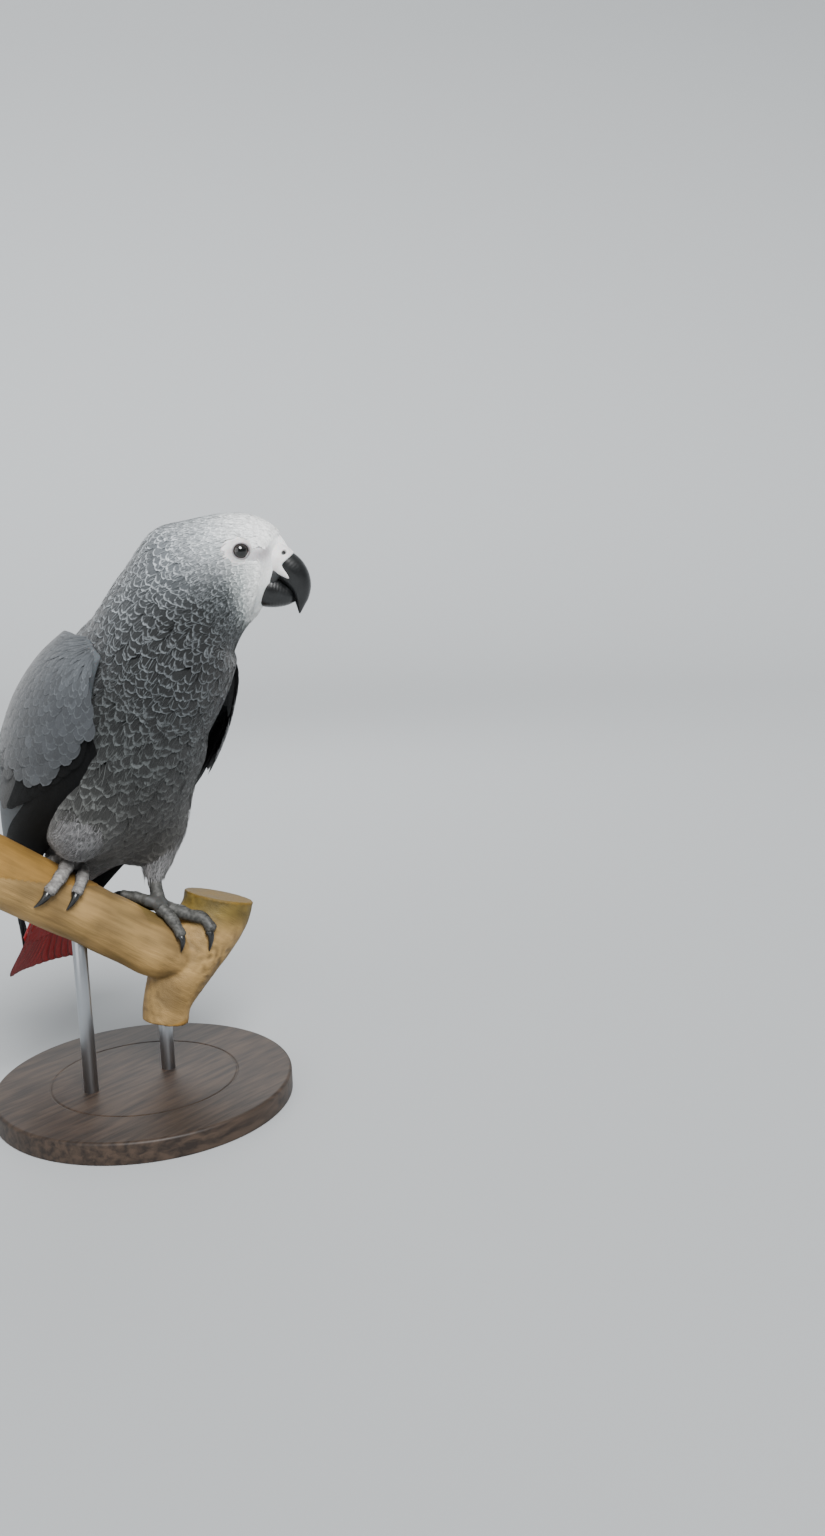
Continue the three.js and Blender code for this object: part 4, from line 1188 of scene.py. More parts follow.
for name, side, *_ in FEET:
    leg = tube(thighs[name], perch_along)
    place, turn = roots(leg, 0.0, 2.6, np.linspace(0, 2 * np.pi, 27)[:-1],
                        lambda place, turn: 6.2 - 0.9 * place, rng, shake=0.3)
    spot, ps, pt, _ = bearing(leg, place, turn)
    keep = ~within_trunk(spot, -7)
    place, turn, pt = place[keep], turn[keep], pt[keep]
    half = np.linalg.norm(pt, axis=-1) * 2 * np.pi / 26 * 1.1
    lower = np.clip(place / 2.6 + rng.normal(0, 0.08, len(place)), 0, 1)
    dark = varied(shades(["3A3A3A", "414242", "5A5A5A"], lower), 0.08, rng)
    tips = varied(shades(["656566", "6C6C6D", "868687"], lower), 0.10, rng)
    plumes(f"thigh_feathers_{name}", leg, place, turn, vane(8, 5), soft_web, "grey_feather", rng,
           dark, tips, length=19 - 4 * place, half=half, low=-2.6, high=0.1, stray=0.16,
           ragged=0.12)
    place, turn = scattered(leg, 0.3, 2.75, 2400, rng)
    keep = ~within_trunk(leg(place, turn), -2)
    place, turn = place[keep], turn[keep]
    lower = np.clip(place / 2.6 + rng.normal(0, 0.2, len(place)), 0, 1)
    tone = varied(shades(["504F50", "636263", "9A999A"], lower), 0.15, rng)
    plumes(f"thigh_down_{name}", leg, place, turn, vane(4, 3, root=0.8), downy_web,
           "grey_feather", rng, tone, tone, length=9 + 2 * rng.normal(0, 1, len(place)), half=0.2,
           low=-1.5, high=rng.uniform(0, 1, len(place)) ** 2, stray=0.26, ragged=0.0, thick=0.15,
           arch=0.0)

# ---- Wing coverts --------------------------------------------------------------------------
# Small smooth ash-grey feathers over the bend and the upper wing and inside its lower edge, in
# close rows that hardly show their rims; then the median and greater coverts, each row longer than
# the last, and the black primary coverts over the roots of the black quills.
ash_web = feather_material("ash_grey_covert", barbs=11, rim=(0.78, 1.02), shaft=0.08, mottle=0.08,
                           relief=0.35)
long_web = feather_material("ash_grey_quill_feather", barbs=46, rim=(0.8, 1.0), shaft=0.35,
                            mottle=0.12, relief=0.5, streaks=0.35, sides=-0.5, belly=0.82)
black_web = feather_material("black_quill_feather", barbs=60, rim=(0.9, 1.0), shaft=0.3,
                             mottle=0.1, relief=0.5, streaks=0.12, sides=-0.5, gloss=0.6,
                             sheen=0.03, belly=0.72, shine=0.12)
rng = np.random.default_rng(15)
QUILL_THICK = 0.35


def quills(name, surface, start, end, shape, material, slot, core, fringe, half, lift, rise=0.0,
           outward=1, bow=1.0, arch=0.10, replaced=()):
    """Long feathers side by side: each runs from its start to its end on a surface, its turn easing
    in by the power `bow`, with its points out across by its half width, its own lift above the
    surface, rising a little to its tip, and its edges arched down."""
    along, across, under = shape[0].T
    n = len(start)
    column = lambda value: np.broadcast_to(np.asarray(value, float), (n,))[:, None]
    run = end - start
    place = start[:, :1] + run[:, :1] * along
    share = start[:, 1:] + run[:, 1:] * along ** bow
    _, ps, pt, face = bearing(surface, place, share, outward)
    ahead = unit(ps * run[:, :1, None] + pt * (run[:, 1:] * bow * np.maximum(along, 0.02)
                                                ** (bow - 1))[..., None])
    aside = np.cross(ahead, face)
    y = across * column(half)
    share = share + y / (pt * aside).sum(-1)
    base, _, _, face = bearing(surface, place, share, outward)
    height = (column(lift) + rise * along ** 2 - arch * column(half) * across ** 2
              - QUILL_THICK * under)
    points = base + face * height[..., None]
    bend = -1.2 * arch * across
    shown = unit(face - bend[..., None] * aside)
    feather_piece(name, points, shown, shape, material, slot, core, fringe,
                  patches(start[:, 0], start[:, 1], along, across), replaced)


WING_STAND = {"left": 9.0, "right": 1.0}
COVERTS_ON = {"left": 1.0, "right": 0.0}  # how much further they run along the lower edge


def held_loose(name):
    """A wing's outer face for its feathers, its lower edge standing off by WING_STAND."""
    def surface(place, share, sunk=0):
        return wings[name](place, share, sunk - WING_STAND[name] * smooth((share - 0.35) / 0.55))
    return surface


# Painted light: the left wing's primary coverts, in the breast's shadow, are painted grey where the
# right wing's are black.
PRIMARY_COVERTS = {"left": ("3A3E41", "4E5356"), "right": ("0F1011", "17191A")}  # core, rim
COVERT_EDGE = ([0.62, 0.72, 0.82, 0.92, 1.02], [5.2, 4.6, 3.7, 2.9, 2.2])  # share, place
UNDERWING_DEPTH = 2.2
WING_STATION = 34  # millimetres from one of the wing's rows to the next

for name, side, *_ in FEET:
    wing = held_loose(name)
    shares = np.linspace(0.0, 1.0, 31)
    place, share = roots(wing, -0.35, 3.3, shares,
                         lambda place, share: 5.2 + 0.9 * place + 0 * share, rng, shake=0.2)
    length = 12.5 + 1.6 * place
    edge = np.interp(share, *COVERT_EDGE) + COVERTS_ON[name] * smooth((share - 0.6) / 0.3)
    keep = place + length / WING_STATION < edge
    place, share, length = place[keep], share[keep], length[keep]
    ring = np.linalg.norm(bearing(wing, place, share, side)[2], axis=-1)
    half = ring / 30 * 1.15
    shade = np.clip(place / 3.4 + rng.normal(0, 0.06, len(place)), 0, 1)
    core = varied(shades(["45494D", "393C40", "323538"], shade), 0.15, rng)
    rim = varied(shades(["5C6064", "4B4F52", "44474A"], shade), 0.12, rng)
    plumes(f"lesser_coverts_{name}", wing, place, share, vane(8, 5), ash_web, "wing_feather", rng,
           core, rim, length=length, half=half, low=-1.8, high=0.3, outward=side)

    # Painted light: these coverts inside the lower edge, shaded by the breast, are painted a paler
    # grey than the upper wing's.
    place, share = roots(wing, -0.2, 2.1, np.linspace(0.66, 0.93, 10),
                         lambda place, share: 5.0 + 0 * share, rng, shake=0.2)
    ring = np.linalg.norm(bearing(wing, place, share, side)[2], axis=-1)
    inner = lambda place, share: wing(place, share, UNDERWING_DEPTH)
    plumes(f"underwing_coverts_{name}", inner, place, share, vane(8, 5), ash_web, "wing_feather",
           rng, varied(shades(["7C8185", "54585B"], place / 3), 0.06, rng),
           varied(shades(["A4A9AC", "6C7073"], place / 3), 0.06, rng),
           length=9, half=ring * 0.036, low=-0.8, high=0.2, outward=-side)

    at = np.linspace(0, 1, 15)  # from the back edge down
    for row, begin, first, reach, wide, high in (("median", 3.0, 0.03, 0.85, 6.2, 0.2),
                                                 ("greater", 3.1, 0.05, 1.4, 7.0, -0.5)):
        start = np.stack([begin + 0.15 * at - 0.75 * (1 - at) ** 2, first + 0.61 * at], -1)
        end = start + np.stack([reach - 0.12 * at, 0 * at], -1) + rng.normal(0, 0.02, start.shape)
        # Painted shade: the lowest rows darken to near black, for the shade in the gap along the
        # wing's lower edge.
        quills(f"{row}_coverts_{name}", wing, start, end, vane(16, 7, root=0.6, belly=0.6),
               long_web, "wing_feather",
               varied(shades(["52565A", "4B4F53", "3E4245", "141617"], at), 0.12, rng),
               varied(shades(["72767A", "6C7074", "595D60", "222527"], at), 0.10, rng),
               half=wide, lift=high - 0.3 * at, rise=0.5, outward=side)
    at = np.linspace(0, 1, 8)
    start = np.stack([3.1 - 1.1 * at, 0.72 + 0.24 * at], -1)
    end = start + np.stack([1.3 - 0.3 * at, 0 * at - 0.02], -1)
    quills(f"primary_coverts_{name}", wing, start, end, vane(16, 7, root=0.6, belly=0.7),
           black_web, "black_quill",
           varied(shades([PRIMARY_COVERTS[name][0], "0B0C0D"], at), 0.08, rng),
           varied(shades([PRIMARY_COVERTS[name][1], "0F1011"], at), 0.06, rng),
           half=6, lift=-0.9 - 0.1 * at, rise=0.4, outward=side)

# ---- Secondaries and primaries -------------------------------------------------------------
# The long quills of the folded wing lie on one another like a closed fan, the innermost on top:
# grey secondaries with dusky inner webs, and black primaries that show below them along the
# wing's lower edge and reach past them over the tail.
rng = np.random.default_rng(16)
SECONDARIES, PRIMARIES = 12, 10
QUILL_SPREAD = {"left": 0.13, "right": 0.18}  # of the primaries' roots, in shares of the wing
QUILL_STEP = {"left": 0.3, "right": 0.16}  # each quill's depth below the one before
QUILL_BOW = {"left": 4.2, "right": 3.2}  # how late a quill turns in towards the wing's tip
for name, side, *_ in FEET:
    wing = held_loose(name)
    nth = np.arange(SECONDARIES)
    at = nth / nth[-1]
    start = np.stack([3.3 + 0.3 * at, 0.06 + 0.60 * at], -1)
    end = np.stack([6.0 + 0.2 * at + np.sin(np.pi * at ** 0.8), 0.05 + 0.62 * at], -1)
    end += rng.normal(0, 0.015, end.shape)
    # Painted shade: the lowest secondaries darken to near black, for the shade along the wing's
    # lower edge.
    quills(f"secondaries_{name}", wing, start, end, vane(24, 7, root=0.7, belly=0.82), long_web,
           "wing_feather",
           varied(shades(["505457", "4C5053", "464A4D", "35383A", "0F1010"], at), 0.14, rng),
           varied(shades(["888D91", "8C9094", "888C90", "6A6E71", "222323"], at), 0.12, rng),
           half=8.6, lift=-0.8 - 0.28 * nth, rise=0.6, outward=side)
    nth = np.arange(PRIMARIES)
    at = nth / nth[-1]
    start = np.stack([2.7 - 0.5 * at, 0.84 + QUILL_SPREAD[name] * at], -1)
    end = np.stack([6.6 + 2.3 * np.sin(np.pi / 2 * at ** 0.8), 0.80 - 0.26 * at], -1)
    quills(f"primary_quills_{name}", wing, start, end, vane(26, 7, root=0.75, belly=0.72),
           black_web, "black_quill", varied(shades(["0C0D0E", "090A0B"], at), 0.08, rng),
           varied(shades(["151719", "101112"], at), 0.06, rng), half=8.5 - 1.5 * at,
           lift=-1.0 - QUILL_STEP[name] * nth, outward=side, bow=QUILL_BOW[name],
           replaced=[f"primaries_{name}"])

# ---- Tail ----------------------------------------------------------------------------------
# Twelve short red quills that overlap from the outermost pair up to the middle pair, with pale
# grey coverts turning red over their roots and red ones beneath.
red_web = feather_material("red_tail_feather", barbs=40, rim=(0.8, 1.0), shaft=0.45, mottle=0.1,
                           relief=0.6, streaks=0.2, sides=-0.5, gloss=0.6, belly=0.72)
covert_web = feather_material("tail_covert_feather", barbs=10, rim=(0.5, 1.0), shaft=0.06,
                              mottle=0.1)
rng = np.random.default_rng(17)


def tail_sheet(place, across):
    """The middle sheet of the tail: half widths across it, its sides drooping by the square."""
    along, back, half, _, drop = np.moveaxis(through(TAIL, place), -1, 0)
    swing = TAIL_SWING * place / (len(TAIL) - 1)
    return on_trunk(along, back - drop * across ** 2, swing + half * across)


pair = np.repeat([5, 4, 3, 2, 1, 0], 2)  # the outermost first
hand = np.tile([-1, 1], 6)
start = np.stack([0.7 + 0 * pair, hand * (0.05 + 0.13 * pair)], -1)
end = np.stack([4.98 - 0.085 * pair, hand * (0.10 + 0.142 * pair)], -1)
# Painted shade: the outer pairs, lying under the others, are painted a darker red than the middle
# pair.
quills("tail_quills", tail_sheet, start, end, vane(24, 7, root=0.6, belly=0.72), red_web,
       "red_feather", varied(shades(["C4080E", "A8070B"], pair / 5), 0.05, rng),
       varied(shades(["8E060A", "5E0407"], pair / 5), 0.04, rng), half=7.2,
       lift=1.1 - 0.5 * pair + 0.12 * hand, arch=0.06, replaced=["tail"])
place, turn = roots(tail, -0.9, 1.9, np.linspace(-np.pi, np.pi, 31)[:-1],
                    lambda place, turn: 9.0 + 0 * turn, rng, shake=0.25)
ring = np.linalg.norm(bearing(tail, place, turn)[2], axis=-1)
over = np.cos(turn) > -0.1
redness = np.clip(np.where(over, 0.25 + 0.35 * place, 0.75 + 0.3 * place), 0, 1)
plumes("tail_coverts", tail, place, turn, vane(9, 5), covert_web, "red_feather", rng,
       varied(shades(["7E8283", "907E7E", "A01618"], redness), 0.05, rng),
       varied(shades(["A9ACAC", "A88484", "B02022"], redness), 0.04, rng), length=21,
       half=np.clip(ring / 30 * 6.4, 3.2, 5), low=-1.2, high=0.4, stray=0.1, ragged=0.1)

# ---- Eyes and lids -------------------------------------------------------------------------
# Glassy dark eyes, a young bird's: near-black pupil in a slate-brown iris under a clear cornea.
# Round them a bare pale lid rolls over the ball, with fine folds that run out into the face, and
# painted shade darkens it towards the eye.
EYE_RADIUS = 6.2
EYE_FORWARD = 0.26  # how far each looks ahead for one part outwards

# Blown glass painted behind: a pupil, a dull iris with fine rays and a dark rim, under clear gloss.
cornea, shader = material_of("glass_eye", Roughness=0.12, IOR=1.4, Coat_Weight=1.0,
                             Coat_Roughness=0.02)
ball_map = add(cornea, "UVMap", uv_map="vane").outputs[0]
outwards = add(cornea, "SeparateXYZ", {0: ball_map}).outputs[1]
iris = add(cornea, "ValToRGB", {"Fac": outwards}, [
    (0.0, "050505"), (0.30, "060606"), (0.36, "2A2725"), (0.60, "3A3632"), (0.72, "1B1917"),
    (0.85, "0D0C0C")])
drawn = add(cornea, "Mapping", {"Vector": ball_map, "Scale": (60, 2, 1)}).outputs[0]
rays = add(cornea, "TexNoise", {"Vector": drawn})
fibre = add(cornea, "MapRange", {"Value": rays.outputs[0], "To Min": 0.6, "To Max": 1.4}).outputs[0]
fibre = add(cornea, "CombineColor", {0: fibre, 1: fibre, 2: fibre}).outputs[0]
tinted = add(cornea, "Mix", {"Factor": 1.0, "A": iris.outputs[0], "B": fibre}, data_type="RGBA",
             blend_type="MULTIPLY")
feed(shader, Base_Color=tinted.outputs["Result"])

# Bare white skin: softly translucent, faintly flushed, pebbled 0.6 mm fine.
bare_skin, shader = material_of("bare_face_skin", Roughness=0.55, Subsurface_Weight=0.12,
                                Subsurface_Scale=2 * MM)
where = add(bare_skin, "TexCoord").outputs["Object"]
flush = add(bare_skin, "TexNoise", {"Vector": where, "Scale": cells(3.85), "Detail": 4})
skin_tone = add(bare_skin, "ValToRGB", {"Fac": flush.outputs[0]},
                [(0.3, "DAD6D5"), (0.7, "F0EEED")])
shade_by = add(bare_skin, "VertexColor", layer_name="core").outputs[0]
toned = add(bare_skin, "Mix", {"Factor": 1.0, "A": skin_tone.outputs[0], "B": shade_by},
            data_type="RGBA", blend_type="MULTIPLY")
pebble = add(bare_skin, "TexVoronoi", {"Vector": where, "Scale": cells(0.625)})
fine = add(bare_skin, "Bump", {"Height": pebble.outputs[0], "Strength": 0.35, "Distance": 0.2 * MM})
feed(shader, Base_Color=toned.outputs["Result"], Normal=fine.outputs[0])


def nearest_spot(surface, target, places, turns):
    """The place and turn of a surface that lie nearest a point, on a fine grid of both."""
    place, turn = np.meshgrid(places, turns, indexing="ij")
    best = np.argmin(np.linalg.norm(surface(place, turn) - target, axis=-1))
    return place.ravel()[best], turn.ravel()[best]


def hoop_faces(count, sides):
    """Quads of a closed hoop: between its rings, and from the last ring back to the first."""
    j = np.arange(sides)
    k, end = (j + 1) % sides, (count - 1) * sides
    return np.vstack([loft_faces(count, sides)[0], np.stack([end + j, end + k, k, j], -1)])


# Out from the eye's axis and up it from the ball's middle: over the lid, out, and back under.
LID_PROFILE = np.array([
    (4.15, 4.35), (4.2, 4.75), (4.45, 5.02), (4.8, 4.98), (5.1, 4.75), (5.35, 4.62), (5.65, 4.66),
    (6.0, 4.5), (6.3, 4.34), (6.7, 4.3), (7.2, 4.05), (7.8, 3.8), (8.5, 3.4), (9.4, 3.0),
    (10.2, 2.6), (10.0, 1.4), (7.0, 2.6), (5.0, 3.2)])
LID_TOPS = 15  # of its rows that lie on top
LID_LOOSE = 5.4  # from here out the lid lies down on the face, over the next 3.6
LID_SIDES = 96
BALL_SIDES = 64

for name, side, *_ in FEET:
    axis = unit(side * head_left + EYE_FORWARD * head_ahead)
    ahead = unit(head_ahead - axis * (head_ahead @ axis))
    over = np.cross(axis, ahead) * side
    tilt = np.linspace(0, np.pi, 49)[1:-1]
    radius = EYE_RADIUS - 0.25 + 0.45 * np.exp(-(tilt / 0.5) ** 2)  # the cornea bulges in front
    spin = np.linspace(0, 2 * np.pi, BALL_SIDES, endpoint=False)
    ball = np.multiply.outer(radius * np.cos(tilt), np.ones(BALL_SIDES))[..., None] * axis
    ball = ball + np.multiply.outer(radius * np.sin(tilt), np.cos(spin))[..., None] * ahead
    ball = ball + np.multiply.outer(radius * np.sin(tilt), np.sin(spin))[..., None] * over
    points, faces = loft(eye_spots[name] + ball)
    eye = mesh_of(f"eyeball_{name}", points, faces, [cornea])
    out = np.repeat(np.clip(tilt / (np.pi / 2), 0, 1), BALL_SIDES)
    map_piece(eye, "vane", np.vstack([np.stack([np.tile(spin / (2 * np.pi), len(tilt)), out], -1),
                                      [(0, 0), (0, 1)]]))
    put(eye, "eye", f"eye_{name}")

    spin = np.linspace(0, 2 * np.pi, LID_SIDES, endpoint=False)
    reach, height = LID_PROFILE.T
    reach = np.repeat(reach[:, None], LID_SIDES, 1)
    flat = 1 + 0.05 * np.cos(2 * spin)
    folds = 0.07 * np.sin(spin * 23 + 2 * np.sin(spin * 3)) * np.exp(-((reach - 5.4) / 1.2) ** 2)
    folds += 0.06 * lattice_noise(np.stack([reach, 6 * np.cos(spin) + 0 * reach,
                                            6 * np.sin(spin) + 0 * reach], -1), 0.8, 31)
    x, y = reach * np.cos(spin) * flat, reach * np.sin(spin) * flat
    level = np.multiply.outer(x, ahead) + np.multiply.outer(y, over)
    lid = eye_spots[name] + level + (height[:, None] + folds)[..., None] * axis
    at_place, at_turn = nearest_spot(body, eye_spots[name] + 4 * axis, np.linspace(2, 5, 301),
                                     side * np.linspace(0.6, 2.2, 301))
    _, ps, pt, _ = bearing(body, at_place, at_turn)
    aside = pt - unit(ps) * (pt @ unit(ps))
    by_turn = (level @ aside) / (aside @ aside)
    by_place = (level @ unit(ps) - by_turn * (pt @ unit(ps))) / np.linalg.norm(ps)
    base, _, _, face = bearing(body, at_place + by_place, at_turn + by_turn)
    under = np.arange(len(LID_PROFILE))[:, None] >= LID_TOPS
    drape = base + face * np.where(under, -2.6, -0.75)[..., None]
    share = smooth((reach - LID_LOOSE) / 3.6)[..., None]
    lid = lid * (1 - share) + drape * share
    quads = hoop_faces(len(LID_PROFILE), LID_SIDES)[:, ::side]
    lids = mesh_of(f"lids_{name}", lid.reshape(-1, 3), [quads], [bare_skin])
    # Painted shade: the lids darken in a ring where they roll in to the eye, softly further out,
    # and more on their front side.
    lid_shade = 0.9 * smooth(1 - (reach - 4.3) / 1.3) + 0.3 * smooth(1 - (reach - 5) / 4.2)
    lid_shade += 0.2 * smooth(1 - (reach - 5) / 5) * smooth(x / 8 - 0.3 * y / 8)
    lid_shade = np.minimum(lid_shade, 1).reshape(-1, 1)
    paint(lids, "core", 1 + lid_shade * (linear("6F6A6D") / linear("E2DEDC") - 1))
    put(lids, "scaled_skin")

# ---- Beak and cere -------------------------------------------------------------------------
# Black horn with a high polish, ridged by growth: the hooked upper half closes down outside the
# scoop of the lower, with a dark fold of skin at each corner. A band of bare white skin with the
# nostrils rolls over the base of the upper half, and on each side runs to a point along it.
# Each row: outer edge ahead and up, inner edge ahead and up, half width.
UPPER_BEAK = np.array([
    [24, 4.2, 12, -10, 9.6], [29.8, 0.2, 15, -12.6, 10.2], [36, -5, 21.8, -17.2, 9.8],
    [40, -11.8, 27, -21, 8.8], [41.4, -19.4, 30, -24.8, 7.3], [40, -26.6, 31.6, -28.6, 5.4],
    [37.4, -31.6, 32.8, -32, 3.3], [34.8, -36.2, 34, -35.8, 0.7],
])
LOWER_BEAK = np.array([
    [13.5, -10.5, 10, -29.6, 9.0], [17, -12, 13, -31.8, 9.7], [21, -14.4, 18, -32.4, 9.3],
    [25.4, -17.5, 22.5, -32.2, 8.2], [29.6, -21.5, 27.5, -31.2, 6.4],
    [32.4, -25.5, 31.6, -29.4, 2.8],
])
CERE_SWELL = 0.75
NOSTRIL = (0.9, 0.72, 0.19, 0.18)  # turn and place on the bill's upper half, half sizes of both
GAPE = (19.2, -13.3, 6.9)  # ahead, up and out from the middle plane
GAPE_SIZE = (6.8, 3.9, 2.6)  # half its length, height and depth


def beak_of(rows):
    """The surface of half a beak: an oval ring at a place in rows, its turn from the outer edge
    towards the left, drawn outwards by `grow` and flattened at its sides."""
    def surface(place, turn, grow=0.0):
        a, b, c, d, half = np.moveaxis(through(rows, place), -1, 0)
        outer, inner = on_head(a, b), on_head(c, d)
        across = outer - inner
        size = np.linalg.norm(across, axis=-1)
        reach, wide = size / 2 + grow, half + grow
        c, s = np.cos(turn), np.sin(turn)
        return ((outer + inner) / 2 + across / size[..., None] * (reach * c)[..., None]
                + head_left * (wide * np.sign(s) * np.abs(s) ** 0.85)[..., None])
    return surface


# Polished horn: nearly black, glossy where it is rubbed, with faint bloom and fine scratches.
horn, shader = material_of("polished_black_horn", Roughness=0.28, IOR=1.54, Coat_Weight=0.3,
                           Coat_Roughness=0.15)
where = add(horn, "TexCoord").outputs["Object"]
worn = add(horn, "TexNoise", {"Vector": where, "Scale": cells(4.55), "Detail": 5}).outputs[0]
bloom = add(horn, "ValToRGB", {"Fac": worn}, [(0.35, "08090A"), (0.72, "131516")])
rub = add(horn, "MapRange", {"Value": worn, "To Min": 0.2, "To Max": 0.5})
scratches = add(horn, "TexNoise", {"Vector": where, "Scale": cells(0.77), "Detail": 3})
scratched = add(horn, "Bump", {"Height": scratches.outputs[0], "Strength": 0.18,
                               "Distance": 0.2 * MM})
feed(shader, Base_Color=bloom.outputs[0], Roughness=rub.outputs[0], Normal=scratched.outputs[0])

for name, rows, lines in (("beak_upper", UPPER_BEAK, 26), ("beak_lower", LOWER_BEAK, 16)):
    place, turn = np.meshgrid(np.linspace(0, len(rows) - 1, 110),
                              np.linspace(0, 2 * np.pi, 72, endpoint=False), indexing="ij")
    growth = 0.025 * np.sin(lines * place + 1.2 * np.cos(turn)) * np.clip(place - 0.8, 0, 1)
    points, faces = loft(beak_of(rows)(place, turn, growth))
    put(mesh_of(f"{name}_horn", points, faces, [horn]), "black_horn", name)

# The cere is a hoop: out over the bill from its root to the edge, and back along the horn.
CERE_RINGS, CERE_SIDES = 34, 120
upper = beak_of(UPPER_BEAK)
t, turn = np.meshgrid(np.linspace(0, 1, CERE_RINGS),
                      np.linspace(-np.pi, np.pi, CERE_SIDES, endpoint=False), indexing="ij")
round_by = np.abs(turn)
edge = (0.35 + 0.93 * smooth((2.45 - round_by) / 0.35)
        + 1.15 * np.exp(-((round_by - 2.02) / 0.24) ** 2))
place = -0.55 + (edge + 0.55) * t
swell = CERE_SWELL * np.sqrt(np.clip(1 - t ** 10, 0, 1)) - 2.6 * np.clip(1 - t / 0.4, 0, 1) ** 2
swell += 0.5 * np.exp(-((round_by - 0.85) / 0.35) ** 2 - ((place - 0.7) / 0.3) ** 2)
nostril = np.exp(-(((round_by - NOSTRIL[0]) / NOSTRIL[2]) ** 2
                   + ((place - NOSTRIL[1]) / NOSTRIL[3]) ** 2) ** 2)
swell = swell - 1.9 * nostril + 0.04 * lattice_noise(upper(place, turn), 1.1, 41)
shell = np.concatenate([upper(place, turn, swell), upper(place[::-1], turn[::-1], -1.5)])
cere = mesh_of("cere", shell.reshape(-1, 3), [hoop_faces(2 * CERE_RINGS, CERE_SIDES)[:, ::-1]],
               [bare_skin])
# Painted shade: the nostrils' dents are painted near-black for the dark inside of the openings.
hollow = np.clip(np.concatenate([nostril, 0 * nostril]).reshape(-1, 1) * 1.3, 0, 1)
paint(cere, "core", 1 + hollow * (linear("0C0A0A") / linear("D8D2CE") - 1))
put(cere, "scaled_skin")

# Each fold is an egg with its long axis along the corner of the mouth, 60 degrees up.
tilt, spin = np.meshgrid(np.linspace(0.06, np.pi - 0.06, 26), np.linspace(0, 2 * np.pi, 40)[:-1],
                         indexing="ij")
x, y, z = np.cos(tilt), np.sin(tilt) * np.cos(spin), np.sin(tilt) * np.sin(spin)
ahead = GAPE[0] + GAPE_SIZE[0] * x * 0.5 + GAPE_SIZE[1] * y * 0.87
up = GAPE[1] + GAPE_SIZE[0] * x * 0.87 - GAPE_SIZE[1] * y * 0.5
out = GAPE[2] + GAPE_SIZE[2] * z * (1 + 0.05 * np.sin(9 * x + 2 * y))
gape = [loft(on_head(ahead, up, side * out)) for side in (1, -1)]
folds = mesh_of("gape_folds", *gathered(gape), [bare_skin])
dark_skin = linear("2A2A2B") / linear("E2DEDC")
paint(folds, "core", np.tile(dark_skin, (len(folds.data.vertices), 1)))
put(folds, "scaled_skin")

# ---- Claws and scales ----------------------------------------------------------------------
# Curved black claws, and the small overlapping plates of grey skin on the shanks and the upper
# sides of the toes.
def pebbled_skin(name, powder, detail, uneven, pebble, relief, **sockets):
    """A bird's own skin: its colour from the mesh, made uneven by powder of this grain in
    millimetres, and creased between pebbles of this width."""
    made, shader = material_of(name, **sockets)
    where = add(made, "TexCoord").outputs["Object"]
    grain = add(made, "TexNoise", {"Vector": where, "Scale": cells(powder), "Detail": detail})
    tone = add(made, "MapRange", {"Value": grain.outputs[0], "From Min": 0.3, "From Max": 0.7,
                                  "To Min": 1 - uneven, "To Max": 1 + uneven}).outputs[0]
    tone = add(made, "CombineColor", {0: tone, 1: tone, 2: tone}).outputs[0]
    colour = add(made, "VertexColor", layer_name="core").outputs[0]
    dusty = add(made, "Mix", {"Factor": 1.0, "A": colour, "B": tone}, data_type="RGBA",
                blend_type="MULTIPLY")
    cracks = add(made, "TexVoronoi", {"Vector": where, "Scale": cells(pebble)},
                 feature="DISTANCE_TO_EDGE")
    creased = add(made, "Bump", {"Height": cracks.outputs[0], "Strength": relief,
                                 "Distance": 0.4 * MM})
    feed(shader, Base_Color=dusty.outputs["Result"], Normal=creased.outputs[0])
    return made


# Dry scaly skin: matt grey under pale feather powder, with cracks 1.1 mm apart.
scale_skin = pebbled_skin("scaled_grey_skin", 2.0, 5, 0.25, 1.11, 0.3, Roughness=0.55,
                          Specular_IOR_Level=0.4)

rng = np.random.default_rng(18)
CLAW_THICK, CLAW_BOW = 2.5, 1.9
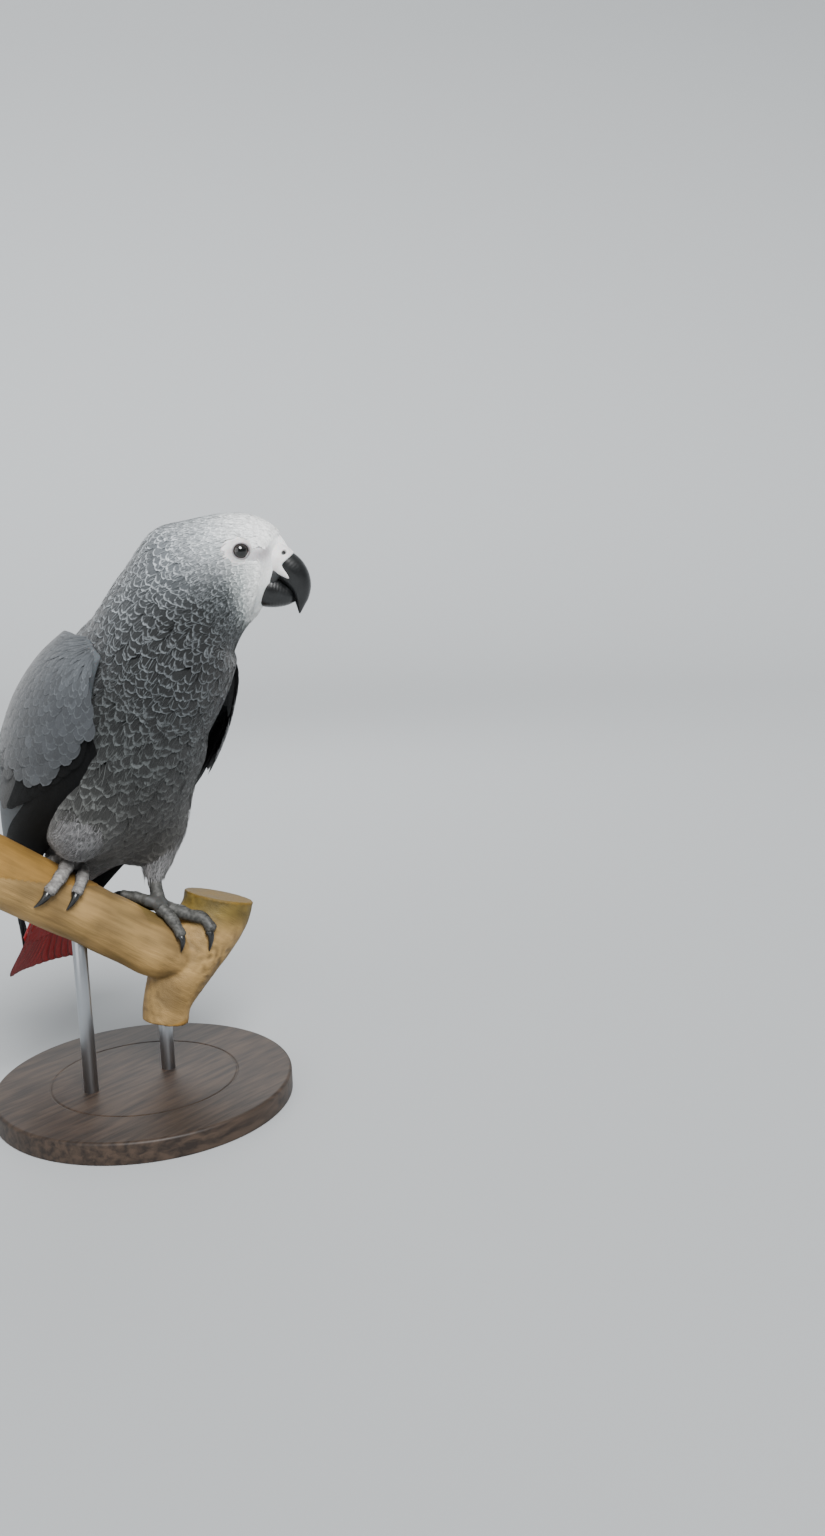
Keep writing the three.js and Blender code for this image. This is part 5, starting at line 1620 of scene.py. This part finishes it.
# Painted light and shade: the near right foot is painted a lighter grey and the far left foot a
# darker one, as lit and shaded copies of one grey.
foot_tone_and_shade = {"left": ["333331", "4A4A47"], "right": ["625F5D", "84827F"]}
for name, side, *_ in FEET:
    scutes = []
    for toe, *_ in TOES:
        claw = claw_rows[toe, name]
        t = np.linspace(0, len(claw) - 1, 36)
        fine = through(claw, t)
        share = t / t[-1]
        fine[:, 3] = CLAW_THICK * (1 - share) ** 0.75 + 0.25
        off = claw[0, :3] - perch_middle
        away = unit(off - perch_along * (off @ perch_along))
        bow = CLAW_BOW * np.sin(np.pi * share ** 0.8) * (1 - 0.2 * share)
        fine[:, :3] += away * bow[:, None]
        into = fine[:1] - [*(fine[1] - fine[0])[:3] * 4, 0.4]
        surface = tube(np.vstack([into, fine]), perch_up)
        points, faces = loft(rings_of(surface, np.linspace(0, len(fine), 60), 20))
        horny = mesh_of(f"claw_horn_{toe}_{name}", points, faces, [horn])
        put(horny, "black_horn", f"claw_{toe}_{name}")
        rows = rounded_end(toe_rows[toe, name])
        scutes.append((f"scales_{toe}_{name}", tube(rows, perch_along), -0.4, len(rows) - 1.3, 2.1))
    shank = tube(through(shanks[name], np.linspace(1, 2.9, 8)), perch_along)
    scutes.append((f"scales_shank_{name}", shank, 0.1, 6.2, 2.6))
    for piece, surface, start, stop, gap in scutes:
        place, turn = roots(surface, start, stop, np.linspace(0, 2 * np.pi, 15)[:-1],
                            lambda place, turn: gap + 0 * turn, rng, shake=0.25)
        ring = np.linalg.norm(bearing(surface, place, turn)[2], axis=-1)
        lower = rng.uniform(0, 1, len(place))
        tone = shades(foot_tone_and_shade[name], lower)
        plumes(piece, surface, place, turn, vane(4, 3, root=0.7), scale_skin, "scaled_skin", rng,
               tone, tone * 1.25, length=np.minimum(gap * 1.3, 0.6 + ring), half=ring * 0.42,
               low=-0.25, high=0.22, stray=0.05, ragged=0.04, thick=0.15, arch=0.1)

# ---- Skin piece ----------------------------------------------------------------------------
# The one skin: pale bare skin with the plumage's markings where feathers grow, a dusky patch from
# eye to bill with a painted shadow under the brow, and grey on the scaled shanks and toes. Each
# point takes the colour of the nearest sample of the forms.
skin_web = pebbled_skin("parrot_skin", 1.43, 4, 0.12, 1.25, 0.25, Roughness=0.6,
                        Subsurface_Weight=0.08, Subsurface_Scale=2 * MM)
places, turns = np.meshgrid(np.linspace(0, 14, 113), np.linspace(-np.pi, np.pi, 73), indexing="ij")
samples = [(body(places, turns, flesh_depth(places, turns)).reshape(-1, 3),
            marked(places.ravel(), turns.ravel(), "core"))]
for name, side, *_ in FEET:
    place, share = np.meshgrid(np.linspace(0, 6, 49), np.linspace(0.05, 0.95, 25), indexing="ij")
    samples.append((wings[name](place, share, WING_COAT).reshape(-1, 3),
                    np.tile(linear("54595D"), (place.size, 1))))
    rows = tube(thighs[name], perch_along)
    samples.append((rings_of(rows, np.linspace(0.2, 2.9, 24), 24, sunk=THIGH_COAT).reshape(-1, 3),
                    np.tile(linear("5B5957"), (24 * 24, 1))))
    tone = linear(foot_tone_and_shade[name][0])
    for rows in [shanks[name]] + [toe_rows[toe, name] for toe, *_ in TOES]:
        spots = rings_of(tube(rows, perch_up), np.linspace(0, len(rows) - 1, 40), 12).reshape(-1, 3)
        samples.append((spots, np.tile(tone, (len(spots), 1))))
spots = np.vstack([spot for spot, _ in samples])
tones = np.vstack([tone for _, tone in samples])


def nearest(points, spots):
    """The number of the spot nearest each point, from |p - s|^2 = |p|^2 - 2 p.s + |s|^2."""
    sizes = (spots ** 2).sum(-1)
    return np.concatenate([np.argmin(sizes - 2 * some @ spots.T, axis=-1)
                           for some in np.array_split(points, 1 + len(points) // 2000)])


centre = spots.mean(0)
skin_colour = tones[nearest((skin_points - centre).astype(np.float32),
                            (spots - centre).astype(np.float32))]
ahead, up, out = side_view(skin_points)
# The lores' dusky lavender skin from eye to bill, and a painted shadow under the brow before the
# eye (the second bell).
lores = 0.75 * np.exp(-((ahead - 10.5) / 9) ** 2 - ((up + 2) / 4.4) ** 2)
lores += 0.35 * np.exp(-((ahead - 15.5) / 2.6) ** 2 - ((up - 2) / 4) ** 2)
lores = np.clip(lores * (out > 6), 0, 1)[:, None]
skin_colour = skin_colour * (1 - lores) + linear("8A8188") * lores
skin = mesh_of("skin", skin_points, [skin_quads], [skin_web])
paint(skin, "core", skin_colour)
put(skin, "scaled_skin", "head", "neck", "trunk", "wing_left", "wing_right",
    *[f"{part}_{name}" for part in ("shank", "thigh") for name in wings],
    *[f"toe_{toe}_{name}" for toe, *_ in TOES for name in wings])
